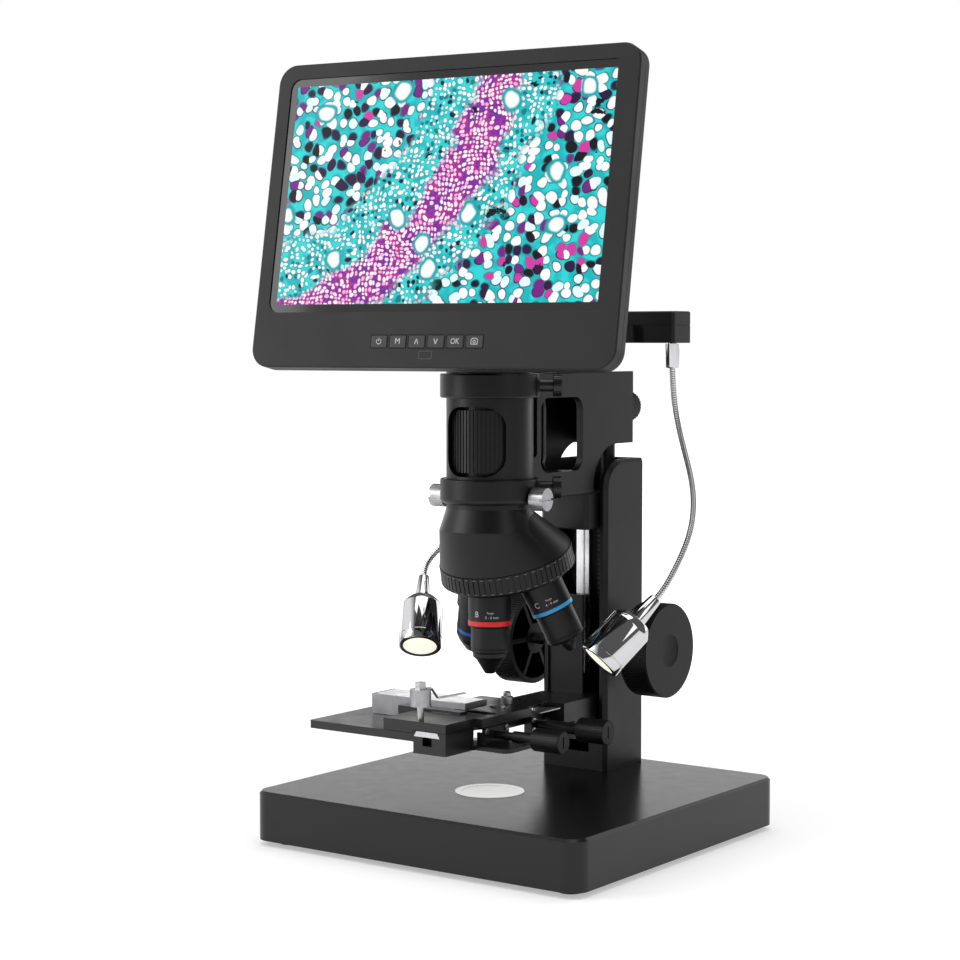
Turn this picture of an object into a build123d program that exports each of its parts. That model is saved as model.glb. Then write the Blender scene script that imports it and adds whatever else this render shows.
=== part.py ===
"""LCD digital microscope, built as separate pieces in one frame.

Millimetres. The origin is the middle of the base on the floor: +X is the right-hand side of someone
facing the display, +Y points to the back and +Z up. The optical axis is vertical, ahead of the column.
"""
from build123d import *
from math import acos, cos, pi, radians, sin, tan
import os

os.makedirs("parts", exist_ok=True)

# ---------------------------------------------------------------- clearances
running_gap = 0.05  # radial, shaft in its hole
moving_gap = 0.4  # between bodies that pass each other
hole_gap = 0.05  # screw or plug in a hole of its own body

# ---------------------------------------------------------------- base
base_width = 242.0
base_depth = 232.0
base_top = 34.1
base_corner = 11.0
base_bevel = 1.6
base_wall = 3.0
foot_height = 3.5
foot_radius = 8.0
foot_inset = (16.5, 18.0)
base_plate_thickness = 2.5
base_screw_radius = 1.5
base_screw_head = 3.0
base_screw_length = 12.0
base_screw_inset = (34.0, 32.0)
boss_radius = 4.5

optical_y = -31.35
illuminator_radius = 21.5
illuminator_height = 10.1
illuminator_glass_radius = 17.5
illuminator_glass_thickness = 3.0
illuminator_seat = 1.5
illuminator_rise = 0.3
led_board_radius = 20.0
led_board_thickness = 1.6
led_radius = 3.0
led_height = 3.0

socket_x = 60.0
socket_radius = 5.6
socket_bore = 3.2
socket_depth = 11.0
socket_pin = 1.0
socket_flange = 7.5
wall_part_z = 18.0  # height of the socket and of the brightness knob

dimmer_y = -40.0
dimmer_radius = 9.0
dimmer_length = 9.0
dimmer_shaft = 3.0
dimmer_ribs = 24

# ---------------------------------------------------------------- column
column_width = 50.0
column_front = 62.5
column_back = 109.0
column_top = 236.0
column_wall = 5.0
column_floor = 5.0
column_bevel = 2.5
column_front_radius = 19.0
cover_right = 6.0
cover_top = 148.0
cover_thickness = 2.0
cover_setback = 1.5
cover_flange = 10.0
front_wall = 2.0  # closes the channel under the stage bracket
port_left = -3.7
port_right = 12.0
port_bottom = 45.6
port_top = 54.2

rail_width = 7.0
rail_depth = 4.0
rail_y = 98.0
rail_bottom = 50.0
rail_top = 230.0

# ---------------------------------------------------------------- focus drive
shaft_y = 81.0
shaft_z = 114.0
shaft_radius = 4.0
bush_radius = 6.5
bush_flange_radius = 9.5
bush_flange = 3.0
pinion_teeth = 16
gear_module = 1.0
pressure_angle = 20.0
gear_backlash = 0.15
pinion_left = 2.5
pinion_right = 8.5
knob_radius = 30.4
knob_width = 19.0
knob_outer_x = 61.5
knob_rim = 3.5
knob_face = 3.5
knob_hub = 10.2
knob_spokes = 6
knob_spoke_width = 3.0
knob_cap_radius = 10.3
knob_cap_recess = 0.5
knob_ribs = 90
knob_rib_depth = 0.5

# ---------------------------------------------------------------- carriage
slide_half_width = 15.5
slide_thickness = 10.0
slide_rear_gap = 0.6
slide_bottom = 62.0
block_bottom = 191.7
block_top = 215.0
block_front = 50.0
rack_left = 2.0
rack_right = 9.0
rack_top = 190.0
post_radius = 5.2
post_x = 2.5
bar_left = -1.5
bar_step = 3.8
bar_right = 7.4
bar_thickness = 3.2
bar_bottom = 96.0

arm_half_width = 18.5
arm_plate_thickness = 4.8
arm_top = 293.0
arm_back = 105.4
arm_rear_bottom = 246.0
arm_rear_front = 85.3
arm_curve_radius = 27.3
window_back = 44.8
window_front = -3.0
window_bottom = 230.7
window_top = 277.5
window_corner = 8.5
core_inset = 1.2
core_web = 3.0
plate_front = -7.0
plate_gap_bottom = 241.0
plate_gap_corner = 3.0

collar_radius = 30.6
top_collar_bottom = 278.3
low_collar_bottom = 213.5
low_collar_top = 228.8
collar_edge = 1.2
low_collar_edge = 3.4
slit_width = 1.2
slit_azimuth = 13.0
lock_azimuths = (38.0, 142.0)
lock_shank = 3.8
lock_head_radius = 6.8
lock_head_start = 38.9
lock_head_end = 43.8
thumb_azimuths = (4.0, 184.0)
thumb_z = 216.9
thumb_shank = 2.8
thumb_head_radius = 7.1
thumb_head_start = 31.5
thumb_head_end = 41.0
thumb_slot = 1.4

rear_knob_z = 269.0
rear_knob_radius = 10.0
rear_knob_length = 23.4
rear_knob_shaft = 4.0
rear_knob_depth = 18.0

# ---------------------------------------------------------------- tube
tube_radius = 26.8
tube_bore = 24.4
tube_bottom = 219.2
tube_top = 297.0
tube_window_bottom = 230.6
tube_window_top = 273.1
tube_window_half_angle = 47.0
tube_window_azimuth = -80.0
tube_window_corner = 12.0
focus_ring_radius = 24.0
focus_ring_bottom = 233.0
focus_ring_top = 271.0
focus_ring_bore = 19.0
focus_ring_ribs = 60
lens_barrel_bore = 15.0
sensor_board_thickness = 1.6
sensor_board_z = 286.0
sensor_half_size = 9.0

# ---------------------------------------------------------------- nosepiece and turret
turret_apex_z = 231.0
turret_tilt = 18.0
ring_start = 52.5
ring_end = 63.5
ring_radius_top = 41.6
ring_radius_bottom = 42.3
ring_knurls = 72
knurl_depth = 0.6
knurl_groove_share = 0.2  # part of the pitch that a groove takes
neck_plug_top = 218.8
neck_bottom = 210.6
shoulder_z = 197.0
shoulder_radius = 31.2
housing_edge_radius = 41.3
light_bore = 8.0
pivot_radius = 5.0
pivot_depth = 9.0
turret_plate_radius = 37.5
turret_plate_end = 66.3
turret_gap = 0.4

objective_radius = 13.3
objective_thread = 10.0
objective_bore = 6.0
spot_face_gap = 0.2
objective_seat = 1.2  # how far the shoulder stands out of the turret plate at the axis

# ---------------------------------------------------------------- display
display_yaw = 6.8
display_tilt = 10.84
display_ahead = 71.8  # display plane's lower edge, ahead of the optical axis
display_z = 334.9
screen_width = 216.96
screen_height = 135.6
display_width = 245.6
display_height = 188.3
display_chin = 38.5
display_corner = 12.0
bezel_front = 0.8
bezel_depth = 6.8
shell_depth = 12.2
shell_wall = 2.0
parting_gap = 0.3
glass_border = 5.0
glass_corner = 7.0
panel_depth = 3.4
bulge_half_width = 72.0
bulge_bottom = -9.0
bulge_top = 112.0
bulge_depth = 24.0
bulge_corner = 10.0
hinge_ahead = 40.0
hinge_z = 330.0
hinge_pin_radius = 3.0
hinge_barrel_radius = 6.8
knuckle_half_width = 14.0
fork_half_width = 22.0
yoke_base_thickness = 5.0
board_half_width = 55.0
board_bottom = 15.0
board_top = 95.0
board_thickness = 1.6
board_standoff = 4.0

button_names = ("power", "menu", "up", "down", "ok", "camera")
button_pitch = 12.9
button_width = 11.3
button_height = 7.6
button_v = -22.8
button_gap = 0.3
button_proud = 0.5
button_length = 5.2

# ---------------------------------------------------------------- lamp bar and lamps
bar_half_length = 76.0
lamp_bar_front = 60.0
lamp_bar_back = 82.0
lamp_bar_bottom = 311.6
lamp_bar_top = 331.6
lamp_bar_seam = 322.5
seam_depth = 0.5
seam_height = 0.6
lamp_bar_bevel = 1.6
lip_half_length = 49.0
lip_proud = 4.6
pillar_half_width = 14.0
pillar_half_depth = 9.0
sleeve_x = 68.7
sleeve_y = 71.0
sleeve_length = 16.0
sleeve_top_radius = 4.75
sleeve_low_radius = 4.1
swivel_stub = 3.0
swivel_stub_length = 8.0
gooseneck_radius = 2.1
gooseneck_lead = 6.0  # straight stretch into the lamp's sleeve
lamp_radius = 14.0
lamp_length = 35.0
lamp_sleeve_length = 18.0
lamp_sleeve_radius = 5.7
lamp_sleeve_tip = 3.6
lamp_back_radius = 10.0
lamp_back_bevel = 5.0
lamp_rim = 1.0
lamp_disc_radius = 11.0
lamp_disc_recess = 1.0

# ---------------------------------------------------------------- stage
table_left = -104.3
table_right = -1.5
table_front = -80.5
table_back = 17.0
table_bottom = 70.0
table_top = 75.0
tongue_left = -24.4
tongue_right = 16.5
tongue_shoulder = 27.0
stage_hole = 15.0
light_slot = (22.0, 8.0)  # opening in the cross slide, its right end just past the axis
light_slot_right = 4.0
bracket_front = 27.0
bracket_back = 80.0
bracket_top = 82.5
bracket_bottom = 58.0
block_left = -22.0
block_right = 2.5
block_back = -52.0
guide_bottom = 63.0
guide_top = 76.7
dovetail_center = -11.5
dovetail_top_width = 15.7
dovetail_foot_width = 19.6
dovetail_height = 3.2
slot_width = 7.0
slot_height = 5.5
slot_depth = 6.0

plate_left = -45.0
plate_top = 82.5
plate_gap = 0.3
notch_front = -47.0
notch_back = -8.0
notch_right = -19.0
plate_back = 22.0
plate_right = 8.3
plate_step = 2.0
rear_plate_right = 4.5
drive_z = 71.0
drive_y = -36.0
drive_pinion_teeth = 10
drive_pinion_module = 0.8
drive_pinion_left = 4.2
drive_pinion_right = 6.0
drive_rod_radius = 2.5
drive_thick_radius = 3.6
drive_thick_start = 22.0
rear_thick_start = 14.4
drive_knob_start = 38.0
drive_knob_end = 58.0
drive_knob_radius = 7.0
rear_drive_y = 14.0
rear_drive_z = 70.0
rear_knob_size = 7.7
rear_rod_left = 0.0
rear_bearing_left = -1.0
rear_bearing_half = 6.5
rear_bearing_bottom = 64.0
drive_floor_back = -22.0
drive_floor_front = -51.0
drive_floor_right = 27.5
drive_floor_corner = 5.0
drive_wall = 2.0
drive_wall_front = -48.4
drive_wall_back = -22.3
drive_wall_top = 76.4
drive_front_wall_top = 73.4
drive_floor_top = 65.6
floor_root = 12.0
x_guide_left = -60.5
x_guide_right = -12.0
x_guide_front = -46.0
x_guide_depth = 7.6
x_guide_top = 84.0
x_bar_left = -88.0
x_bar_step = -57.0
x_bar_right = -14.0
x_bar_depth = 23.0
x_bar_top = 88.0
clip_x = -21.9
clip_y = -73.3
clip_post = 2.15
clip_nut_radius = 6.45
clip_nut_bottom = 90.8
clip_nut_top = 101.3
clip_cap_top = 105.5
clip_blade_thickness = 0.6
clip_blade_width = 4.0
clip_blade_bend = 7.1
clip_blade_foot = 11.8
clip_blade_low = 94.9
clip_blade_rise = 1.8
clip_blade_reach = 30.2


# ---------------------------------------------------------------- helpers
def save(piece, name):
    """Label a finished piece and write it to its own file."""
    piece.part.label = name
    export_step(piece.part, f"parts/{name}.step")


def section_plane(origin, direction):
    """Plane through a line: local x is the radius from the line, local y runs along it."""
    along = Vector(*direction).normalized()
    side = Vector(1, 0, 0) if abs(along.X) < 0.9 else Vector(0, 1, 0)
    radial = (side - along * side.dot(along)).normalized()
    return Plane(origin=origin, x_dir=radial, z_dir=radial.cross(along))


def outline(points, origin=(0, 0, 0), direction=(0, 0, 1)):
    """Face of a turned piece from (radius, distance along the line) points."""
    with BuildSketch(section_plane(origin, direction)) as face:
        with BuildLine():
            Polyline(*points, close=True)
        make_face()
    return face.sketch


def around(origin=(0, 0, 0), direction=(0, 0, 1)):
    """Axis of a turned piece."""
    return Axis(origin, direction)


def ribbed(radius, count, depth, groove_share=0.5):
    """Circle with shallow grooves cut around it, as a closed sketch."""
    with BuildSketch() as face:
        Circle(radius)
        with PolarLocations(radius, count):
            Rectangle(2 * depth, 2 * pi * radius / count * groove_share, mode=Mode.SUBTRACT)
    return face.sketch


def radial_direction(azimuth):
    """Unit vector that points away from the optical axis."""
    return Vector(cos(radians(azimuth)), sin(radians(azimuth)), 0)


def radial_plane(azimuth, z, distance=0.0):
    """Plane square to a radius of the optical axis."""
    away = radial_direction(azimuth)
    foot = Vector(0, optical_y, z) + away * distance
    return Plane(origin=foot, x_dir=away.cross(Vector(0, 0, -1)), z_dir=away)


def bend_radii(points):
    """Largest tangent arc for each corner of a route, from its two runs and its turn."""
    radii = []
    for before, corner, after in zip(points, points[1:], points[2:]):
        first = Vector(*corner) - Vector(*before)
        second = Vector(*after) - Vector(*corner)
        turn = radians(first.get_angle(second))
        radii.append(0.45 * min(first.length, second.length) / tan(turn / 2))
    return radii


def involute_half_angle(radius, pitch_radius, teeth, backlash):
    """Half of a gear tooth's angle at a radius, for a true involute flank."""
    alpha = radians(pressure_angle)
    here = acos(min(1.0, pitch_radius * cos(alpha) / radius))
    spread = (tan(alpha) - alpha) - (tan(here) - here)
    return (pi * 2 * pitch_radius / teeth - backlash) / 4 / pitch_radius + spread


def gear_face(teeth, module, backlash, start_angle):
    """Closed sketch of a spur gear; one tooth points along start_angle, in degrees."""
    pitch = module * teeth / 2
    base = pitch * cos(radians(pressure_angle))
    tip = pitch + module
    root = pitch - 1.25 * module
    radii = [base + (tip - base) * step / 4 for step in range(5)]
    flank = [(radius, involute_half_angle(radius, pitch, teeth, backlash)) for radius in radii]
    half = [(root, flank[0][1])] + flank if root < base else flank
    points = []
    for tooth in range(teeth):
        middle = radians(start_angle) + tooth * 2 * pi / teeth
        for radius, angle in half:
            points.append((radius * cos(middle - angle), radius * sin(middle - angle)))
        for radius, angle in reversed(half):
            points.append((radius * cos(middle + angle), radius * sin(middle + angle)))
    with BuildSketch() as face:
        with BuildLine():
            Polyline(*points, close=True)
        make_face()
    return face.sketch


def rack_points(low, high, space_at, pitch_line, back, module, backlash, side):
    """Rack outline as (along, across) points: a space is centred on space_at, teeth point to -side."""
    pitch = pi * module
    slope = tan(radians(pressure_angle))
    tooth_half = (pitch / 2 - backlash) / 2
    first = int((low - space_at) / pitch) - 1
    points = [(low, back)]
    points.append((low, pitch_line + side * 1.25 * module))
    for index in range(first, int((high - space_at) / pitch) + 2):
        middle = space_at + (index + 0.5) * pitch
        if middle - pitch / 2 < low or middle + pitch / 2 > high:
            continue
        points.append((middle - tooth_half - 1.25 * module * slope, pitch_line + side * 1.25 * module))
        points.append((middle - tooth_half + module * slope, pitch_line - side * module))
        points.append((middle + tooth_half - module * slope, pitch_line - side * module))
        points.append((middle + tooth_half + 1.25 * module * slope, pitch_line + side * 1.25 * module))
    points.append((high, pitch_line + side * 1.25 * module))
    points.append((high, back))
    return points


# ---------------------------------------------------------------- base
plate_floor = foot_height + base_plate_thickness
base_ceiling = base_top - base_wall
half_width = base_width / 2
half_depth = base_depth / 2
foot_places = [
    (side * (half_width - foot_inset[0]), end * (half_depth - foot_inset[1])) for side in (-1, 1) for end in (-1, 1)
]
base_screw_places = [
    (side * (half_width - base_screw_inset[0]), end * (half_depth - base_screw_inset[1]))
    for side in (-1, 1)
    for end in (-1, 1)
]
column_middle = (column_front + column_back) / 2
column_screw_places = [(side * 14.0, column_middle + end * 12.0) for side in (-1, 1) for end in (-1, 1)]
column_screw_radius = 2.0

with BuildPart() as base_cover:
    with BuildSketch(Plane.XY.offset(foot_height)):
        RectangleRounded(base_width, base_depth, base_corner)
    extrude(amount=base_top - foot_height)
    chamfer(base_cover.faces().sort_by(Axis.Z)[-1].edges(), base_bevel)
    with BuildSketch(Plane.XY.offset(foot_height)):
        RectangleRounded(base_width - 2 * base_wall, base_depth - 2 * base_wall, base_corner - base_wall)
    extrude(amount=base_ceiling - foot_height, mode=Mode.SUBTRACT)
    with BuildSketch(Plane.XY.offset(plate_floor)):
        with Locations(*base_screw_places):
            Circle(boss_radius)
    extrude(amount=base_ceiling - plate_floor)
    with BuildSketch(Plane.XY.offset(plate_floor)):
        with Locations(*base_screw_places):
            Circle(base_screw_radius + hole_gap)
    extrude(amount=base_screw_length, mode=Mode.SUBTRACT)
    with BuildSketch(Plane.XY.offset(base_ceiling)):
        with Locations((0, optical_y)):
            Circle(illuminator_radius)
        with Locations(*column_screw_places):
            Circle(column_screw_radius + hole_gap)
    extrude(amount=base_wall, mode=Mode.SUBTRACT)
    with BuildSketch(Plane.YZ.offset(-half_width)):
        with Locations((dimmer_y, wall_part_z)):
            Circle(dimmer_shaft + running_gap)
    extrude(amount=base_wall, mode=Mode.SUBTRACT)
    with BuildSketch(Plane.XZ.offset(-half_depth)):
        with Locations((socket_x, wall_part_z)):
            Circle(socket_radius)
    extrude(amount=base_wall, mode=Mode.SUBTRACT)
save(base_cover, "base_cover")

plate_margin = base_wall + 2 * hole_gap
with BuildPart() as base_plate:
    with BuildSketch(Plane.XY.offset(foot_height)):
        RectangleRounded(base_width - 2 * plate_margin, base_depth - 2 * plate_margin, base_corner - base_wall)
        with Locations(*base_screw_places):
            Circle(base_screw_radius + hole_gap, mode=Mode.SUBTRACT)
    extrude(amount=base_plate_thickness)
save(base_plate, "base_plate")

with BuildPart() as rubber_feet:
    with BuildSketch():
        with Locations(*foot_places):
            Circle(foot_radius)
    extrude(amount=foot_height)
    chamfer(rubber_feet.faces().group_by(Axis.Z)[0].edges(), 0.6)
save(rubber_feet, "rubber_feet")

screw_head_height = 1.3
with BuildPart() as base_screws:
    with BuildSketch(Plane.XY.offset(foot_height)):
        with Locations(*base_screw_places):
            Circle(base_screw_radius)
    extrude(amount=base_screw_length)
    with BuildSketch(Plane.XY.offset(foot_height)):
        with Locations(*base_screw_places):
            Circle(base_screw_head)
    extrude(amount=-screw_head_height)
save(base_screws, "base_screws")

ring_bottom = base_top - illuminator_height
glass_bottom = base_top - illuminator_glass_thickness
with BuildPart() as illuminator_ring:
    revolve(
        outline(
            [
                (illuminator_radius, ring_bottom),
                (illuminator_radius, base_top + illuminator_rise),
                (illuminator_glass_radius, base_top + illuminator_rise),
                (illuminator_glass_radius, glass_bottom),
                (illuminator_glass_radius - illuminator_seat, glass_bottom),
                (illuminator_glass_radius - illuminator_seat, ring_bottom),
            ],
            (0, optical_y, 0),
        ),
        axis=around((0, optical_y, 0)),
    )
save(illuminator_ring, "illuminator_ring")

with BuildPart() as illuminator_glass:
    with BuildSketch(Plane.XY.offset(glass_bottom)):
        with Locations((0, optical_y)):
            Circle(illuminator_glass_radius)
    extrude(amount=illuminator_glass_thickness)
save(illuminator_glass, "illuminator_glass")

with BuildPart() as led_board:
    with BuildSketch(Plane.XY.offset(ring_bottom - led_board_thickness)):
        with Locations((0, optical_y)):
            Circle(led_board_radius)
    extrude(amount=led_board_thickness)
    with BuildSketch(Plane.XY.offset(ring_bottom)):
        with Locations((0, optical_y)):
            with PolarLocations(7.0, 3):
                Circle(led_radius)
    extrude(amount=led_height)
save(led_board, "led_board")

with BuildPart() as power_socket:
    revolve(
        outline(
            [
                (socket_bore, 0),
                (socket_flange, 0),
                (socket_flange, -1.2),
                (socket_radius, -1.2),
                (socket_radius, -socket_depth - 1.2),
                (0, -socket_depth - 1.2),
                (0, -3.0),
                (socket_pin, -3.0),
                (socket_pin, -socket_depth),
                (socket_bore, -socket_depth),
            ],
            (socket_x, half_depth + 1.2, wall_part_z),
            (0, 1, 0),
        ),
        axis=around((socket_x, half_depth, wall_part_z), (0, 1, 0)),
    )
save(power_socket, "power_socket")

with BuildPart() as dimmer_knob:
    with BuildSketch(Plane.YZ.offset(-half_width - moving_gap)):
        with Locations((dimmer_y, wall_part_z)):
            add(ribbed(dimmer_radius, dimmer_ribs, 0.4))
    extrude(amount=-dimmer_length)
    chamfer(dimmer_knob.faces().sort_by(Axis.X)[0].edges(), 0.3)
    with BuildSketch(Plane.YZ.offset(-half_width - moving_gap)):
        with Locations((dimmer_y, wall_part_z)):
            Circle(dimmer_shaft)
    extrude(amount=moving_gap + base_wall + 4.0)
save(dimmer_knob, "dimmer_knob")

# ---------------------------------------------------------------- column
half_column = column_width / 2
inner_column = half_column - column_wall
channel_back = column_back - column_wall
with BuildPart() as column:
    with BuildSketch(Plane.XY.offset(base_top)):
        with Locations((0, column_middle)):
            Rectangle(column_width, column_back - column_front)
    extrude(amount=column_top - base_top)
    front_top = column.edges().filter_by(Axis.X).group_by(Axis.Z)[-1].sort_by(Axis.Y)[0]
    fillet(front_top, column_front_radius)
    side_edges = column.faces().filter_by(Axis.X).edges()
    floor_z = base_top + 0.01
    chamfer([edge for edge in side_edges if edge.bounding_box().max.Z > floor_z], column_bevel)
    with BuildSketch(Plane.XY.offset(base_top + column_floor)):
        with Locations((0, (column_front + channel_back) / 2)):
            Rectangle(2 * inner_column, channel_back - column_front)
    extrude(amount=column_top, mode=Mode.SUBTRACT)
    with BuildSketch(Plane.YZ.offset(-column_width)):
        with Locations((shaft_y, shaft_z)):
            Circle(bush_radius)
    extrude(amount=2 * column_width, mode=Mode.SUBTRACT)
    with BuildSketch(Plane.XY.offset(base_top)):
        with Locations(*column_screw_places):
            Circle(column_screw_radius + hole_gap)
    extrude(amount=column_floor, mode=Mode.SUBTRACT)
    with BuildSketch(Plane.XZ.offset(-column_front)):
        with Locations((0, (base_top + bracket_bottom) / 2)):
            Rectangle(2 * inner_column, bracket_bottom - base_top)
        with Locations(((port_left + port_right) / 2, (port_bottom + port_top) / 2)):
            Rectangle(port_right - port_left, port_top - port_bottom, mode=Mode.SUBTRACT)
    extrude(amount=-front_wall)
save(column, "column")

cover_bottom = bracket_top
with BuildPart() as column_cover:
    cover_front = column_front + cover_setback
    with BuildSketch(Plane.XY.offset(cover_bottom)):
        with BuildLine():
            Polyline(
                (-inner_column, cover_front),
                (cover_right, cover_front),
                (cover_right, cover_front + cover_thickness),
                (-inner_column + cover_thickness, cover_front + cover_thickness),
                (-inner_column + cover_thickness, cover_front + cover_flange),
                (-inner_column, cover_front + cover_flange),
                close=True,
            )
        make_face()
    extrude(amount=cover_top - cover_bottom)
save(column_cover, "column_cover")

with BuildPart() as guide_rails:
    with BuildSketch(Plane.XY.offset(rail_bottom)):
        with Locations((-inner_column + rail_width / 2, rail_y), (inner_column - rail_width / 2, rail_y)):
            Rectangle(rail_width, rail_depth)
    extrude(amount=rail_top - rail_bottom)
save(guide_rails, "guide_rails")

with BuildPart() as shaft_bushes:
    for side in (-1, 1):
        revolve(
            outline(
                [
                    (shaft_radius + running_gap, side * inner_column),
                    (bush_radius, side * inner_column),
                    (bush_radius, side * half_column),
                    (bush_flange_radius, side * half_column),
                    (bush_flange_radius, side * (half_column + bush_flange)),
                    (shaft_radius + running_gap, side * (half_column + bush_flange)),
                ],
                (0, shaft_y, shaft_z),
                (1, 0, 0),
            ),
            axis=around((0, shaft_y, shaft_z), (1, 0, 0)),
        )
save(shaft_bushes, "shaft_bushes")

# ---------------------------------------------------------------- focus drive
pinion_pitch = gear_module * pinion_teeth / 2
knob_inner_x = knob_outer_x - knob_width
shaft_end = knob_outer_x - knob_face
with BuildPart() as focus_shaft:
    with BuildSketch(Plane.YZ.offset(-shaft_end)):
        with Locations((shaft_y, shaft_z)):
            Circle(shaft_radius)
    extrude(amount=2 * shaft_end)
    with BuildSketch(Plane.YZ.offset(pinion_left)):
        with Locations((shaft_y, shaft_z)):
            add(gear_face(pinion_teeth, gear_module, gear_backlash, 0.0))
    extrude(amount=pinion_right - pinion_left)
save(focus_shaft, "focus_shaft")


def focus_knob(side):
    """Cup-shaped hand wheel; its open side faces the column."""
    face_x = side * knob_outer_x
    with BuildPart() as knob:
        with BuildSketch(Plane.YZ.offset(face_x)):
            with Locations((shaft_y, shaft_z)):
                add(ribbed(knob_radius, knob_ribs, knob_rib_depth))
        extrude(amount=-side * knob_width)
        with BuildSketch(Plane.YZ.offset(face_x)):
            with Locations((shaft_y, shaft_z)):
                Circle(knob_radius - 0.8)
                Circle(knob_cap_radius, mode=Mode.SUBTRACT)
        extrude(amount=side * knob_cap_recess)
        with BuildSketch(Plane.YZ.offset(side * knob_inner_x)):
            with Locations((shaft_y, shaft_z)):
                Circle(knob_radius - knob_rim)
                Circle(knob_hub, mode=Mode.SUBTRACT)
                with PolarLocations(0, knob_spokes):
                    with Locations(((knob_radius - knob_rim) / 2, 0)):
                        Rectangle(knob_radius - knob_rim + 1, knob_spoke_width, mode=Mode.SUBTRACT)
        extrude(amount=side * (knob_width - knob_face), mode=Mode.SUBTRACT)
        with BuildSketch(Plane.YZ.offset(side * knob_inner_x)):
            with Locations((shaft_y, shaft_z)):
                Circle(shaft_radius)
        extrude(amount=side * (knob_width - knob_face), mode=Mode.SUBTRACT)
    return knob


save(focus_knob(-1), "focus_knob_left")
save(focus_knob(1), "focus_knob_right")

# ---------------------------------------------------------------- carriage inside the column
rack_pitch_line = shaft_y + pinion_pitch
slide_back = channel_back - slide_rear_gap
slide_front = slide_back - slide_thickness
rack_rear = slide_front
with BuildPart() as slide_plate:
    with BuildSketch(Plane.XY.offset(slide_bottom)):
        with Locations((0, (slide_front + slide_back) / 2)):
            Rectangle(2 * slide_half_width, slide_thickness)
        for side in (-1, 1):
            with Locations((side * (inner_column - rail_width / 2), rail_y)):
                Rectangle(rail_width + 2 * moving_gap, rail_depth + 2 * moving_gap, mode=Mode.SUBTRACT)
    extrude(amount=block_top - slide_bottom)
    with BuildSketch(Plane.XY.offset(block_top)):
        with Locations((post_x, slide_back - slide_thickness / 2)):
            Circle(post_radius)
    extrude(amount=arm_rear_bottom - block_top)
save(slide_plate, "slide_plate")

with BuildPart() as rack:
    with BuildSketch(Plane.YZ.offset(rack_left)):
        with BuildLine():
            teeth = rack_points(
                slide_bottom, rack_top, shaft_z, rack_pitch_line, rack_rear, gear_module, gear_backlash, 1
            )
            Polyline(*[(across, along) for along, across in teeth], close=True)
        make_face()
    extrude(amount=rack_right - rack_left)
save(rack, "rack")

slide_bar_front = cover_front + cover_thickness + moving_gap + 1.8
with BuildPart() as slide_bar:
    with BuildSketch(Plane.XY.offset(bar_bottom)):
        with BuildLine():
            Polyline(
                (bar_left, slide_bar_front),
                (bar_step, slide_bar_front),
                (bar_step, slide_bar_front + 1.0),
                (bar_right, slide_bar_front + 1.0),
                (bar_right, slide_bar_front + bar_thickness),
                (bar_left, slide_bar_front + bar_thickness),
                close=True,
            )
        make_face()
    extrude(amount=block_bottom - bar_bottom)
save(slide_bar, "slide_bar")

with BuildPart() as carriage_block:
    with BuildSketch(Plane.XY.offset(block_bottom)):
        with Locations((0, (block_front + slide_front) / 2)):
            Rectangle(2 * arm_half_width, slide_front - block_front)
    extrude(amount=block_top - block_bottom)
    chamfer(carriage_block.faces().sort_by(Axis.Y)[0].edges().filter_by(Axis.Z), 3.0)
    chamfer(carriage_block.faces().sort_by(Axis.Z)[0].edges(), 0.8)
save(carriage_block, "carriage_block")


# ---------------------------------------------------------------- arm
def arm_profile(inset):
    """Side view of the arm as (Y, Z), with its window; inset pulls every edge inwards."""
    front = optical_y + tube_radius / 4
    curve_start = (arm_rear_front, arm_rear_bottom)
    with BuildSketch() as face:
        with BuildLine():
            Polyline((front, block_top), (front, arm_top), (arm_back, arm_top), (arm_back, arm_rear_bottom))
            Line((arm_back, arm_rear_bottom), curve_start)
            curve = JernArc(start=curve_start, tangent=(-1, 0), radius=arm_curve_radius, arc_size=90)
            Line(curve @ 1, (arm_rear_front - arm_curve_radius, block_top))
            Line((arm_rear_front - arm_curve_radius, block_top), (front, block_top))
        make_face()
        if inset:
            offset(amount=-inset)
    with BuildSketch() as window:
        with Locations(((window_front + window_back) / 2, (window_bottom + window_top) / 2)):
            RectangleRounded(
                window_back - window_front + 2 * inset, window_top - window_bottom + 2 * inset, window_corner + inset
            )
    return face.sketch - window.sketch


def collar_space():
    """What the tube and the two collars take out of the arm, as a turned face."""
    return outline(
        [
            (0, low_collar_bottom - 1),
            (collar_radius, low_collar_bottom - 1),
            (collar_radius, low_collar_top),
            (tube_radius + moving_gap, low_collar_top),
            (tube_radius + moving_gap, top_collar_bottom),
            (collar_radius, top_collar_bottom),
            (collar_radius, arm_top + 1),
            (0, arm_top + 1),
        ],
        (0, optical_y, 0),
    )


def arm_plate(side):
    """One cheek of the arm."""
    with BuildPart() as plate:
        with BuildSketch(Plane.YZ.offset(side * arm_half_width)):
            add(arm_profile(0))
        extrude(amount=-side * arm_plate_thickness)
        chamfer(plate.faces().filter_by(Axis.X).sort_by(Axis.X)[-1 if side > 0 else 0].outer_wire().edges(), 0.6)
        revolve(collar_space(), axis=around((0, optical_y, 0)), mode=Mode.SUBTRACT)
        gap_length = 2 * (plate_front - optical_y)
        gap_height = 2 * (top_collar_bottom - plate_gap_bottom)
        with BuildSketch(Plane.YZ.offset(side * arm_half_width)):
            with Locations((optical_y, top_collar_bottom)):
                RectangleRounded(gap_length, gap_height, plate_gap_corner)
            with Locations((optical_y, top_collar_bottom + gap_height / 2)):
                Rectangle(gap_length, gap_height, mode=Mode.SUBTRACT)
        extrude(amount=-side * arm_plate_thickness, mode=Mode.SUBTRACT)
    return plate


save(arm_plate(-1), "arm_plate_left")
save(arm_plate(1), "arm_plate_right")

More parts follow.
